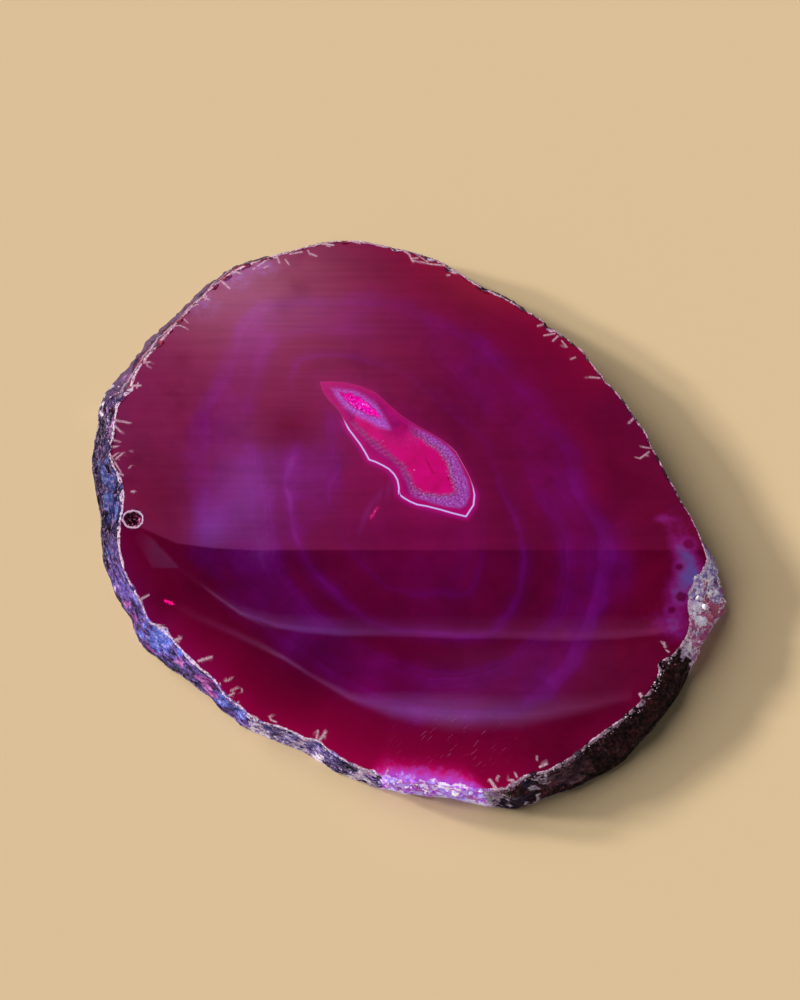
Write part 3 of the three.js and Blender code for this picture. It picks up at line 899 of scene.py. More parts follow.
def fact(place, name):
    """What the mesh stores under a name."""
    return Signal(put(place.tree, "ShaderNodeAttribute", attribute_name=name).outputs["Fac"])


def ease(value, low, high, to_low=0.0, to_high=1.0):
    """A smooth step between two values; low may lie above high for a falling one."""
    if low > high:
        low, high, to_low, to_high = high, low, to_high, to_low
    limits = {"From Min": low, "From Max": high, "To Min": to_low, "To Max": to_high}
    return node("ShaderNodeMapRange", {"Value": value, **limits}, interpolation_type="SMOOTHSTEP")


def over(share, below, above):
    """Lays one colour over another by a share."""
    return node("ShaderNodeMix", {0: share, 6: below, 7: above}, 2, data_type="RGBA", clamp_factor=True)


def tint(red, green, blue):
    """A colour chart value as the linear colour that shaders work in."""
    shares = [value / 255 for value in (red, green, blue)]
    return (*[s / 12.92 if s <= 0.04045 else ((s + 0.055) / 1.055) ** 2.4 for s in shares], 1.0)


def paint(*rows):
    """Stops for a chart, from rows of a place and the red, green and blue there."""
    return [(place, tint(*colour)) for place, *colour in rows]


def chart(value, stops, mode="LINEAR"):
    """A colour ramp from (place, colour) stops."""
    ramp = node("ShaderNodeValToRGB", {0: value})
    colours = ramp.socket.node.color_ramp
    colours.interpolation = mode
    while len(colours.elements) < len(stops):
        colours.elements.new(0.5)
    for element, (place, colour) in zip(colours.elements, stops):
        element.position = place
        element.color = colour
    return ramp


def grain(place, size, detail=3.0, roughness=0.6, stretch=None):
    """Noise whose blotches are about size millimetres across."""
    if stretch:
        place = node("ShaderNodeMapping", {"Vector": place, "Scale": stretch})
    values = {"Vector": place, "Scale": 1000 / size, "Detail": detail, "Roughness": roughness}
    return node("ShaderNodeTexNoise", values, "Fac")


def spread_by(mask, texture, depth):
    """A soft mask with its border broken up by a texture."""
    return mask + (texture - 0.5) * depth


def new_group(name, inputs, outputs):
    """An empty node group with named sockets, its given signals by name, and the sockets for its results."""
    group = bpy.data.node_groups.new(name, "ShaderNodeTree")
    for in_out, sockets in (("INPUT", inputs), ("OUTPUT", outputs)):
        for label, kind in sockets.items():
            group.interface.new_socket(label, in_out=in_out, socket_type=f"NodeSocket{kind}")
    given = put(group, "NodeGroupInput").outputs
    return group, {label: Signal(given[label]) for label in inputs}, put(group, "NodeGroupOutput").inputs


def use(group, values):
    """Puts a group to work on signals, and hands back its outputs in their order."""
    made = node("ShaderNodeGroup", values, node_tree=group).socket.node
    return [Signal(socket) for socket in made.outputs]


def new_material(name, **constants):
    """A material, the sockets of its Principled shader with the constants set, and the place on the piece.

    What glows here glows too faintly to be worth the time that sampling it as a lamp takes.
    """
    material = bpy.data.materials.new(name)
    material.use_nodes = True
    material.cycles.emission_sampling = "NONE"
    skin = material.node_tree.nodes["Principled BSDF"].inputs
    for label, value in constants.items():
        skin[label.replace("_", " ")].default_value = value
    return material, skin, Signal(put(material.node_tree, "ShaderNodeTexCoord").outputs["Object"])


def raise_surface(skin, height, strength, distance_mm):
    values = {"Height": height, "Strength": strength, "Distance": distance_mm * MM}
    feed(skin["Normal"], node("ShaderNodeBump", values, "Normal"))


print("node helpers ready")

# %% [markdown]
# ## The dyed bands
# The dye goes deeper into some layers than into others. So the colour is a recipe over the band number: a
# dark crimson ground, purple where the dye took well, and faint hair-thin layers in between, which wander a
# little as real ones do. Where the stone is even, a softer chart takes the place of the sharp one. The
# polished face and the sawn underside both cut through the same layers, so the recipe is a group that both
# use.

# %% The group for the bands
bands_group, given, result = new_group(
    "dyed_bands", {"Band": "Float", "Patch": "Float", "Even": "Float", "Lines": "Float", "Place": "Vector"},
    {"Colour": "Color"},
)
LAST_BAND = 5
PURPLE_BY_BAND = [
    (0, 0.34), (0.4, 0.34), (0.8, 0.26), (0.93, 0.32), (0.98, 0.46), (1.06, 0.2), (1.3, 0.05), (1.74, 0.05),
    (1.86, 0.3), (1.95, 0.6), (2.05, 0.58), (2.16, 0.28), (2.32, 0.05), (2.62, 0.07), (2.8, 0.4), (3, 0.68),
    (3.2, 0.5), (3.5, 0.44), (3.8, 0.7), (3.95, 0.95), (4.07, 0.62), (4.17, 0.2), (4.35, 0.03), (5, 0),
]
SOFT_PURPLE_BY_BAND = [
    (0, 0.3), (0.8, 0.22), (1.3, 0.12), (1.74, 0.2), (2, 0.4), (2.3, 0.26), (2.65, 0.3), (3, 0.5),
    (3.3, 0.42), (3.7, 0.5), (3.95, 0.7), (4.08, 0.42), (4.25, 0.14), (4.5, 0.03), (5, 0),
]
HAIR_LINES = [
    (0, 0), (0.93, 0), (0.97, 0.7), (1, 1), (1.03, 0.6), (1.09, 0), (1.92, 0), (1.97, 0.6), (2, 0.9),
    (2.04, 0.4), (2.1, 0), (5, 0),
]
GROUND_BY_BAND = paint(
    (0.0, 118, 3, 56), (0.07, 100, 3, 50), (0.2, 86, 3, 46), (0.44, 80, 3, 42), (0.64, 86, 3, 42),
    (0.82, 90, 3, 42), (0.92, 88, 2, 36), (1.0, 92, 3, 42),
)


def grey_stops(table):
    """Stops for a chart of plain strengths, from rows of a band number and a strength."""
    return [(at / LAST_BAND, (strength, strength, strength, 1)) for at, strength in table]


place = given["Place"]
wander = grain(place, 14, 2) - 0.5
ripple = grain(place, 3.5, 2) - 0.5
shifted = given["Band"] + wander * 0.42 + ripple * 0.07
share = shifted / LAST_BAND
layers = {"W": shifted, "Scale": 6.0, "Detail": 2.5, "Roughness": 0.55}
thin = ease(node("ShaderNodeTexNoise", layers, "Fac", noise_dimensions="1D"), 0.3, 0.7, 0.84, 1.12)
cloudy = ease(grain(place, 11, 3), 0.3, 0.7, 0.6, 1.3)
sharp = chart(share, grey_stops(PURPLE_BY_BAND), "B_SPLINE")
soft = chart(share, grey_stops(SOFT_PURPLE_BY_BAND), "B_SPLINE")
purple = over(given["Even"], sharp, soft) * thin * cloudy
purple = purple + chart(share, grey_stops(HAIR_LINES)) * given["Lines"] + given["Patch"]
dye = chart(purple * 0.6, paint((0.0, 84, 4, 62), (0.35, 88, 5, 84), (0.62, 97, 9, 96), (1.0, 113, 38, 130)))
mottle = ease(grain(place, 6, 4, 0.62), 0.25, 0.75, 0.84, 1.16)
feed(result["Colour"], scaled(over(purple * 1.1, chart(share, GROUND_BY_BAND), dye), mottle))


def dyed_bands(place):
    """The bands' colour, from what the stone knows about itself."""
    stored = {label: fact(place, label.lower()) for label in ("Band", "Patch", "Even", "Lines")}
    return use(bands_group, {"Place": place, **stored})[0]


print("the bands' recipe has", len(bands_group.nodes), "nodes")

# %% [markdown]
# ## Marks drawn in the material
# A dot or a short scratch is far finer than the mesh, so it is drawn in the material: a small group gives
# the distance from a place to a straight stroke, and the mark is wherever that distance is short. The
# second group gives the look of grown crystal: a mosaic of grains, each with its own random shade and a
# dark joint round it.

# %% Groups for strokes and for crystal grains
stroke_group, given, result = new_group(
    "stroke", {"Place": "Vector", "Start": "Vector", "End": "Vector"}, {"Distance mm": "Float"}
)
to_place = vectors("SUBTRACT", given["Place"], given["Start"])
whole = vectors("SUBTRACT", given["End"], given["Start"])
along = vectors("DOT_PRODUCT", to_place, whole, output="Value")
length_squared = maths("MAXIMUM", vectors("DOT_PRODUCT", whole, whole, output="Value"), 1e-12)
share = maths("DIVIDE", along, length_squared, clamp=True)
gap = vectors("SUBTRACT", to_place, scaled(whole, share))
feed(result["Distance mm"], vectors("LENGTH", gap, output="Value") / MM)

grains_group, given, result = new_group(
    "crystal_grains", {"Place": "Vector", "Size mm": "Float"}, {"Shade": "Float", "Joint": "Float"}
)
place, size = given["Place"], given["Size mm"]
bent = node("ShaderNodeTexNoise", {"Vector": place, "Scale": 2200.0 / size}, "Color")
mosaic = {"Vector": vectors("ADD", place, scaled(bent, size * (0.6 * MM))), "Scale": 1000.0 / size}
feed(result["Shade"], part_of(node("ShaderNodeTexVoronoi", mosaic, "Color"), "X"))
feed(result["Joint"], node("ShaderNodeTexVoronoi", mosaic, "Distance", feature="DISTANCE_TO_EDGE"))


def stroke_mm(place, start, end):
    """The distance in mm to a stroke between two places in the photograph."""
    start, end = [(*(point * MM), THICKNESS * MM) for point in on_face([start, end])]
    return use(stroke_group, {"Place": place, "Start": start, "End": end})[0]


def draw_marks(colour, place, texture, rough, soft, marks):
    """Draws short strokes over a colour, with rough borders: start, end, half the width in mm, and shade."""
    for start, end, width, shade in marks:
        away = stroke_mm(place, start, end) + texture * rough - rough / 2
        colour = over(ease(away, width, width - soft), colour, shade)
    return colour


def crystal_grains(place, size):
    """Random shade per grain, and a mask of the joints between them."""
    shade, joint = use(grains_group, {"Place": place, "Size mm": size})
    return shade, ease(joint, 0.12, 0.02)


# %% [markdown]
# ## The crumbled edge
# Where the saw leaves the stone, the last half millimetre crumbles, and the broken quartz looks white. That
# fringe lies on the face and on the wall at once, so it is a group that both materials use, and it works on
# one distance that runs on over the edge.

# %% The group for the edge
edge_group, given, result = new_group(
    "crumbled_edge", {"Edge mm": "Float", "Width mm": "Float", "Line": "Float", "Place": "Vector"},
    {"Mask": "Float", "Colour": "Color"},
)
coarse = grain(given["Place"], 1.5, 3, 0.7)
fine = grain(given["Place"], 0.4, 3, 0.7)
reach = given["Width mm"] * (coarse * 1.7 + fine * 0.9 - 0.42)
line = ease(abs(given["Edge mm"] - (coarse * 0.8 - 0.25)), 0.15, 0.06)
line = line * given["Line"] * ease(fine, 0.36, 0.5, 0.5, 1.0)
crumbs = chart(fine, paint(
    (0.34, 92, 38, 74), (0.44, 156, 98, 134), (0.54, 190, 146, 178), (0.66, 230, 212, 230
)))
feed(result["Mask"], maths("MAXIMUM", ease(given["Edge mm"] - reach, 0.07, -0.07), line))
feed(result["Colour"], over(line * 0.7, crumbs, tint(214, 194, 218)))


def crumbled_edge(place):
    """The mask and the colour of the crumbled fringe."""
    stored = {"Edge mm": "edge_mm", "Width mm": "fringe", "Line": "edge_line"}
    return use(edge_group, {"Place": place, **{label: fact(place, name) for label, name in stored.items()}})


print("the edge's recipe has", len(edge_group.nodes), "nodes")

# %% [markdown]
# ## The polished face
# The face is one flat mirror over coloured stone. Its colour is laid down in the order in which the stone
# itself lies: first the bands, then the cloudy chalcedony and the glowing rim, then the heart with its
# crystal layer, core and halo, and last the white veins. The gloss is a clear coat above all of them,
# because polish is the same whatever it covers. Fine polishing lines and a few smudges only weaken that
# coat.

# %% Polished face: bands, rim and marks
face, skin, place = new_material(
    "polished_agate", Specular_IOR_Level=0.0, Coat_Roughness=0.012, Coat_IOR=1.5
)
fine = grain(place, 0.35, 2)
medium = grain(place, 1.3, 4, 0.65)
speck = node("ShaderNodeTexVoronoi", {"Vector": place, "Scale": 1000 / 0.42}, "Distance")
colour = dyed_bands(place)

# Darker, warmer and redder zones of the dye, and a frosted patch at the upper left
for name, share, shade in (
    ("dim", 1.0, tint(30, 0, 20)), ("warm", 0.95, tint(146, 3, 62)), ("magenta", 0.55, tint(112, 10, 80)),
    ("ruddy", 1.0, tint(124, 4, 30)),
):
    colour = over(fact(place, name) * share, colour, shade)
frost = fact(place, "frost") * ease(medium, 0.36, 0.6, 0.3, 1.3)
colour = over(frost, colour, tint(120, 88, 172))

# The rim lets light through at the bottom, where glassy lumps glow
glow = fact(place, "glow")
colour = over(ease(glow, 0.1, 0.75, 0.0, 0.95), colour, tint(214, 8, 112))
lump_shade, lump_joint = crystal_grains(place, 1.5)
glassy_paint = paint((0.1, 150, 70, 205), (0.35, 196, 96, 226), (0.6, 190, 150, 250), (0.85, 238, 216, 255))
lumps = over(lump_joint * 0.5, chart(lump_shade, glassy_paint), tint(205, 40, 190))
colour = over(ease(spread_by(glow, medium, 0.7), 0.3, 0.8, 0.0, 0.85), colour, tint(172, 76, 214))
colour = over(ease(spread_by(glow, medium, 1.3), 0.7, 0.9), colour, lumps)

# Cloudy chalcedony by the tip, with round eyes in it
cloud = spread_by(fact(place, "cloud"), medium, 0.6)
colour = over(ease(cloud, 0.05, 0.6, 0.0, 0.8), colour, tint(118, 20, 104))
colour = over(ease(cloud, 0.4, 1.0, 0.0, 0.9), colour, tint(84, 66, 138))
for x, y, radius in BUBBLES:
    bubble = stroke_mm(place, (x, y), (x + 1, y)) - radius * PIXEL + medium * 0.8 - 0.4
    colour = over(ease(bubble, 0.9, 0.0, 0.0, 0.4), colour, tint(120, 22, 110))
    colour = over(ease(bubble, 0.12, -0.5, 0.0, 0.9), colour, tint(82, 2, 50))

# A pale fold below the heart, a red splinter, and one hot pink fleck
colour = over(fact(place, "lobe") * 0.5, colour, tint(104, 26, 100))
colour = draw_marks(colour, place, fine, 0.9, 0.2, [
    ((371, 518), (377, 508), 0.34, tint(160, 16, 92)), ((371.5, 516), (375, 511), 0.16, tint(206, 60, 128)),
    ((165, 600.5), (168, 601.5), 0.34, tint(255, 16, 140)),
    ((169, 602.5), (173, 604), 0.3, tint(250, 16, 134)),
])

# Magenta bleeds out from the heart's white line
heart_mm = fact(place, "heart_mm")
weight = fact(place, "line_weight")
colour = over(ease(heart_mm, 1.2, 0.0, 0.0, 0.6) * ease(weight, 0.3, 0.85), colour, tint(176, 4, 130))
print("the face has", len(face.node_tree.nodes), "nodes so far")

# %% Polished face: inside the heart
ragged = fine * 0.9 - 0.45
soft_ragged = medium * 1.3 - 0.65
heart = over(ease(grain(place, 1.6, 3), 0.35, 0.65), tint(122, 0, 82), tint(142, 2, 100))
heart = over(ease(heart_mm, -1.5, -0.1, 0.0, 0.7) * (weight * 0.4 + 0.6), heart, tint(172, 0, 104))

# The crystal layer, greyer beside the core and thinner on the side of the comb
core_mm = fact(place, "core_mm") + ragged + soft_ragged
lilac = chart(fine, paint(
    (0.3, 114, 26, 114), (0.45, 136, 54, 150), (0.58, 150, 80, 178), (0.72, 166, 112, 198
)))
greyish = chart(fine, paint(
    (0.3, 84, 24, 66), (0.46, 116, 60, 96), (0.58, 132, 92, 122), (0.72, 158, 146, 152
)))
layer = over(ease(core_mm, 0.9, 0.25, 0.0, 0.45), lilac, greyish)
layer = over(ease(speck, 0.16, 0.08, 0.0, 0.3), layer, tint(100, 60, 96))
calm = fact(place, "calm")
layer_share = ease(fact(place, "layer_mm") + ragged + soft_ragged * 0.5, 0.2, -0.45)
heart = over(layer_share * (fact(place, "olive") * -0.75 + 1.0) * (1.0 - calm), heart, layer)

# The solid core, and the teeth of the comb
core = chart(grain(place, 3.0, 4), paint((0.3, 168, 0, 92), (0.5, 184, 0, 105), (0.7, 194, 0, 119)))
heart = over(ease(core_mm, 0.35, -0.45) * (calm * -0.6 + 1.0), heart, core)
heart = over(fact(place, "teeth") * ease(fine, 0.36, 0.5, 0.35, 1.0) * 0.5, heart, tint(132, 96, 112))

# The halo of the eye, and small marks
halo = over(ease(fine, 0.4, 0.68), tint(148, 64, 176), tint(174, 98, 202))
halo = over(ease(speck, 0.14, 0.06, 0.0, 0.7), halo, tint(104, 36, 130))
heart = over(ease(fact(place, "halo_mm") + soft_ragged * 0.5, 0.45, -0.75), heart, halo)
heart = over(ease(fact(place, "eye_mm") + ragged * 0.5, 0.36, 0.1, 0.0, 0.85), heart, tint(160, 6, 124))
heart = draw_marks(heart, place, fine, 0.6, 0.26, [
    ((373, 413), (384, 421), 0.12, tint(120, 20, 120)), ((426, 459), (433, 473), 0.3, tint(158, 0, 78)),
    ((414, 470), (414.5, 470), 0.12, tint(206, 160, 206)),
    ((383, 441), (383.5, 441), 0.1, tint(210, 160, 206)),
    ((448, 478), (448.5, 478.5), 0.24, tint(120, 0, 74)), ((446, 472), (447, 473), 0.16, tint(126, 0, 80)),
])

# The heart's white line, thin and dull on its upper right
colour = over(ease(heart_mm, 0.04, -0.06), colour, heart)
line = ease(abs(heart_mm) - (weight * 0.12 - 0.01), 0.07, -0.05) * ease(weight, 0.05, 0.75, 0.45, 1.0)
colour = over(line, colour, over(ease(weight, 0.2, 0.8), tint(150, 60, 100), tint(190, 184, 254)))
print("and", len(face.node_tree.nodes), "with the heart")

# %% Polished face: vug, edge, veins and gloss
vug_mm = fact(place, "vug_mm")
vug_line = ease(abs(vug_mm - 0.72 + medium * 0.8) - 0.15 + fine * 0.3, 0.24, 0.12)
colour = over(ease(vug_mm, 1.5, 0.4, 0.0, 0.5), colour, tint(70, 4, 52))
colour = over(vug_line, colour, over(fine, tint(168, 120, 158), tint(226, 204, 226)))
edge_mask, edge_colour = crumbled_edge(place)
colour = over(edge_mask, colour, edge_colour)
vein = fact(place, "vein") * ease(fine, 0.34, 0.48, 0.55, 0.95)
colour = over(vein, colour, over(fine, tint(156, 108, 138), tint(226, 196, 212)))
broken = maths("MAXIMUM", maths("MAXIMUM", edge_mask, vein), vug_line)

# Fine scratches in the polish near the bottom
slanted = node("ShaderNodeMapping", {"Vector": place, "Rotation": (0, 0, math.radians(-44))})
scratches = ease(grain(slanted, 0.26, 2, 0.5, stretch=(0.1, 1, 1)), 0.64, 0.7) * fact(place, "scratched")
feed(skin["Base Color"], over(scratches * 0.4, colour, tint(176, 96, 140)))

# The coat: weaker along the polishing lines, in smudges and on broken quartz
coat = ease(grain(place, 0.7, 3, 0.55, stretch=(0.04, 1, 1)), 0.3, 0.7, 0.84, 1.0)
coat = coat * ease(grain(place, 20, 4, 0.65), 0.54, 0.7, 1.0, 0.7) * (1.0 - fact(place, "smudge"))
feed(skin["Coat Weight"], coat * ease(broken, 0.2, 0.8, 1.0, 0.2))
feed(skin["Roughness"], ease(fine, 0.3, 0.7, 0.42, 0.55))
raise_surface(skin, broken * fine, 0.5, 0.12)
stone.data.materials.append(face)
print("the face's recipe has", len(face.node_tree.nodes), "nodes")

# %% [markdown]
# ## The rind
# The outside of the nodule is weathered skin: dark where it is mineral-stained, lavender and blue where the
# dye soaked the porous chalcedony, white where a crust is left, and clear quartz at the tip. The foot of the
# left wall is darkened as painted shade, and a few white spots on the left are painted glints. Each stretch
# has its own colour chart over the same grain, and the masks blend one into the next. The grain is squeezed
# in height where the skin is layered, and drawn out in height on the brown stretch, which grew as fibres.
# Where light comes through the thin rim, the skin glows a little in its own colours.

# %% Rind
PLAIN = paint((0.38, 24, 14, 26), (0.46, 58, 34, 56), (0.53, 96, 60, 88), (0.64, 168, 138, 158))
NAVY = paint(
    (0.39, 4, 3, 10), (0.46, 17, 13, 33), (0.51, 37, 28, 60), (0.57, 62, 47, 92), (0.64, 134, 106, 152
))
LILAC = paint(
    (0.38, 16, 14, 32), (0.44, 42, 32, 68), (0.49, 74, 54, 118), (0.54, 98, 78, 156), (0.59, 138, 104, 174),
    (0.65, 206, 186, 222),
)
GLASSY = paint(
    (0.1, 160, 44, 176), (0.35, 178, 84, 222), (0.6, 156, 132, 248), (0.82, 190, 160, 250),
    (0.93, 244, 232, 255),
)
BROWN = paint(
    (0.4, 2, 1, 2), (0.46, 15, 7, 12), (0.5, 36, 18, 26), (0.55, 65, 34, 46), (0.6, 104, 62, 80),
    (0.66, 158, 118, 138),
)
QUARTZ = paint(
    (0.05, 112, 56, 98), (0.3, 128, 76, 122), (0.5, 140, 92, 138), (0.75, 150, 120, 160),
    (0.95, 176, 158, 186),
)
STRIPES = paint(
    (0.05, 176, 140, 160), (0.2, 150, 40, 62), (0.32, 48, 34, 56), (0.5, 170, 150, 172), (0.6, 120, 30, 60),
    (0.72, 40, 30, 50), (0.95, 90, 66, 96),
)
# Patches with a ragged border, laid in this order
PATCHES = {
    "wall_deep": paint((0.38, 14, 16, 40), (0.46, 30, 36, 78), (0.53, 48, 58, 116), (0.62, 96, 110, 170)),
    "wall_pale": paint(
        (0.39, 24, 20, 48), (0.46, 58, 50, 108), (0.51, 98, 86, 152), (0.56, 148, 130, 184),
        (0.64, 224, 216, 236),
    ),
    "wall_grey": paint((0.38, 30, 18, 30), (0.46, 60, 40, 58), (0.53, 92, 62, 84), (0.62, 150, 118, 140)),
    "wall_mauve": paint(
        (0.38, 120, 48, 92), (0.46, 146, 68, 114), (0.53, 162, 92, 136), (0.62, 204, 170, 198)
    ),
    "wall_frost": paint(
        (0.38, 88, 78, 142), (0.46, 116, 104, 168), (0.53, 146, 132, 184), (0.62, 220, 212, 230)
    ),
    "wall_bright": paint((0.38, 20, 26, 62), (0.46, 48, 58, 128), (0.53, 82, 94, 188), (0.62, 160, 166, 232)),
    "wall_pink": paint((0.38, 70, 26, 78), (0.46, 112, 46, 116), (0.53, 156, 74, 150), (0.62, 210, 160, 206)),
    "wall_rose": paint((0.38, 116, 40, 78), (0.46, 146, 62, 98), (0.53, 166, 84, 116), (0.62, 206, 156, 180)),
    # Dark stains and pits, and painted shade along the foot of the left wall
    "wall_dark_and_foot_shade": paint((0.38, 5, 5, 14), (0.5, 22, 18, 40), (0.58, 50, 44, 84), (0.66, 126, 108, 146)),
    # White crust and crumbs, and painted glints on the left wall
    "wall_crust_and_glints": paint(
        (0.38, 120, 84, 130), (0.46, 176, 150, 186), (0.54, 216, 206, 228), (0.62, 248, 246, 252)
    ),
}

rind, skin, place = new_material("rough_rind", Specular_IOR_Level=0.16)
lumps = grain(place, 2.6, 4, 0.66, stretch=(1, 1, 1.4))
strata = grain(place, 2.2, 3, 0.6, stretch=(1, 1, 4))
fine = grain(place, 0.55, 4, 0.72)
fibres = grain(place, 0.6, 3, 0.7, stretch=(1, 1, 0.25))
layered = strata * 0.4 + lumps * 0.35 + fine * 0.25
fibrous = fibres * 0.55 + lumps * 0.25 + fine * 0.2
blue, lilac, brown, clear = (fact(place, f"wall_{name}") for name in ("blue", "lilac", "brown", "quartz"))

quartz_shade, quartz_joint = crystal_grains(place, 0.7)
quartz = over(quartz_joint * 0.25, chart(quartz_shade, QUARTZ), tint(120, 70, 110))
quartz = over(ease(layered, 0.47, 0.4, 0.0, 0.6), quartz, tint(72, 34, 66))
glass_shade, glass_joint = crystal_grains(place, 1.7)
glass = over(ease(layered, 0.44, 0.6, 0.0, 0.6), chart(glass_shade, GLASSY), tint(206, 176, 250))
glass = over(glass_joint * 0.5, glass, tint(170, 40, 176))

colour = over(blue, chart(layered, PLAIN), chart(layered, NAVY))
colour = over(lilac, colour, chart(layered, LILAC))
colour = over(fact(place, "wall_glow"), colour, glass)
colour = over(brown, colour, chart(fibrous, BROWN))
colour = over(ease(spread_by(clear, fine, 1.2), 0.4, 0.6), colour, quartz)
crumb = grain(place, 1.0, 4, 0.7)
for name, stops in PATCHES.items():
    mask = fact(place, name)
    patchy = ease(spread_by(mask, crumb if name == "wall_crust_and_glints" else lumps, 3.0), 0.45, 0.8)
    colour = over(patchy * ease(mask, 0.02, 0.3), colour, chart(layered, stops))

# White threads where the quartz grains of the tip meet
threads = ease(abs(grain(place, 2.4, 3, 0.6) - 0.5), 0.03, 0.008) * ease(clear, 0.5, 0.9, 0.0, 0.85)
colour = over(threads, colour, tint(220, 208, 222))

# Thin seams along the layers, and the stripes of the bevelled upper left
seams = ease(abs(strata - 0.5), 0.02, 0.004, 0.0, 0.6) * (blue + lilac * 0.5) * ease(fine, 0.4, 0.55)
colour = over(seams, colour, tint(196, 150, 196))
striped = lumps * 0.9 + fact(place, "edge_mm") * 0.42 - 0.35
colour = over(fact(place, "wall_striped") * 0.75, colour, chart(striped, STRIPES))

# Reddish stain in the brown, and the thin pale lower lip of the wall
stain = brown * ease(grain(place, 3.2, 4, 0.7), 0.5, 0.62, 0.0, 0.7)
colour = over(stain, colour, over(ease(fibrous, 0.42, 0.58), tint(40, 10, 20), tint(104, 40, 54)))
lip = ease(part_of(place, "Z"), 0.42 * MM, 0.12 * MM) * ease(fine, 0.42, 0.52)
colour = over(lip * 0.6, colour, tint(178, 160, 170))
edge_mask, edge_colour = crumbled_edge(place)
colour = over(edge_mask, colour, edge_colour)

feed(skin["Base Color"], colour)
feed(skin["Roughness"], ease(layered, 0.4, 0.62, 0.8, 0.4))
feed(skin["Emission Color"], over(fact(place, "wall_lit") * 0.6, tint(0, 0, 0), colour))
feed(skin["Emission Strength"], 0.9)
raise_surface(skin, over(brown, layered, fibrous) + fine * 0.4, 0.9, 0.6)
stone.data.materials.append(rind)
print("the rind's recipe has", len(rind.node_tree.nodes), "nodes")

# %% [markdown]
# ## The sawn underside and the hollows
# The underside shows the same bands, but a saw leaves it matt, paler and faintly grooved, so the same group
# is used with its colour lifted and with straight saw marks in the bump. The walls of the vug are crystal-
# lined and dark, since little light gets back out of them. Those of the eye glow pink with the light that
# comes through the dyed slice.

# %% Sawn underside
sawn, skin, place = new_material("sawn_agate", Specular_IOR_Level=0.3)
heart_mm = fact(place, "heart_mm")
chalky = over(0.2, dyed_bands(place), tint(176, 120, 160))
chalky = over(ease(heart_mm, 0.05, -0.05, 0.0, 0.8), chalky, tint(186, 60, 130))
feed(skin["Base Color"], over(ease(abs(heart_mm), 0.3, 0.15, 0.0, 0.8), chalky, tint(206, 190, 226)))
saw_marks = grain(place, 0.8, 3, 0.7, stretch=(0.03, 1, 1))
feed(skin["Roughness"], ease(saw_marks, 0.3, 0.7, 0.55, 0.72))
raise_surface(skin, saw_marks, 0.35, 0.06)
stone.data.materials.append(sawn)

# %% Walls of the hollows
hollow, skin, place = new_material("hollow_wall", Specular_IOR_Level=0.5)
sparkle = grain(place, 0.5, 4, 0.7)
deep = chart(sparkle, paint((0.42, 8, 0, 6), (0.5, 70, 4, 44), (0.56, 150, 20, 92), (0.64, 232, 196, 218)))
lit = chart(sparkle, paint((0.35, 190, 0, 140), (0.6, 236, 16, 180)))
in_the_eye = ease(fact(place, "eye_mm"), 1.2, 0.6)
feed(skin["Base Color"], over(in_the_eye, deep, lit))
feed(skin["Emission Color"], over(in_the_eye, tint(0, 0, 0), lit))
feed(skin["Emission Strength"], 0.4)
feed(skin["Roughness"], ease(sparkle, 0.3, 0.7, 0.5, 0.2))
raise_surface(skin, sparkle, 0.8, 0.2)
stone.data.materials.append(hollow)

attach(stone, "root")
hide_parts("agate_slice")

# %% [markdown]
# ## Crystals
# Quartz grows as six-sided prisms with a point. One function makes such a crystal: a six-sided cylinder
# whose top face is poked up into a tip. Another scatters roots over chosen faces of the stone, larger faces
# getting more of them, and leans each crystal a little. What would stand above the polished face is pressed
# flat to it, as the saw and the polish do. Each crystal also keeps one random number, so that its material
# can give every crystal its own shade.

# %% Growing and scattering crystals
draw = np.random.RandomState(7)
UPRIGHT = Vector((0, 0, 1))


def lean_matrix(root, direction, spin_by):
    """Stands a piece that points up at a root in mm, along a direction."""
    turned = Vector(direction).to_track_quat("Z", "X").to_matrix().to_4x4()
    return Matrix.Translation(Vector(root) * MM) @ turned @ Matrix.Rotation(spin_by, 4, "Z")


def grow_crystal(maker, root, direction, radius, length, shade):
    """A six-sided crystal from its root, sizes in mm."""
    body = length * 0.6
    place = lean_matrix(root, direction, draw.uniform(0, 6.28)) @ Matrix.Translation((0, 0, body * MM / 2))
    made = bmesh.ops.create_cone(
        maker, cap_ends=True, segments=6, radius1=radius * MM, radius2=radius * 0.9 * MM, depth=body * MM,
        matrix=place,
    )["verts"]
    faces = {face for vert in made for face in vert.link_faces}
    ahead = (place.to_3x3() @ UPRIGHT).normalized()
    top = max(faces, key=lambda face: face.calc_center_median().dot(ahead) + face.calc_area())
    tip = bmesh.ops.poke(maker, faces=[top], offset=(length - body) * MM, center_mode="MEAN")["verts"]
    layer = maker.verts.layers.float["shade"]
    for vert in made + tip:
        vert[layer] = shade


def grow_lump(maker, root, direction, radius, height, shade, smooth):
    """A rounded or angular grain that sits on its root."""
    place = lean_matrix(root, direction, draw.uniform(0, 6.28))
    place = place @ Matrix.Diagonal((1, draw.uniform(0.7, 1), height / radius, 1))
    detail, waves = (2, 0.9) if smooth else (1, 1.6)
    made = bmesh.ops.create_icosphere(maker, subdivisions=detail, radius=radius * MM, matrix=place)["verts"]
    layer = maker.verts.layers.float["shade"]
    for vert in made:
        vert.co += noise.noise_vector(vert.co / MM * waves) * radius * 0.3 * MM
        vert[layer] = shade


def roots_on_stone(chosen, count):
    """Random roots on chosen faces of the stone, with the faces' normals."""
    polygons = [stone.data.polygons[index] for index in chosen]
    areas = np.array([polygon.area for polygon in polygons])
    roots = []
    for pick in draw.choice(len(polygons), count, p=areas / areas.sum()):
        corners = [stone.data.vertices[index].co for index in polygons[pick].vertices]
        shares = draw.dirichlet(np.ones(len(corners)))
        root = sum((corner * share for corner, share in zip(corners, shares)), Vector())
        roots.append((root / MM, Vector(polygons[pick].normal)))
    return roots


def leaning(direction, most):
    return (Vector(direction) + Vector(draw.uniform(-most, most, 3))).normalized()


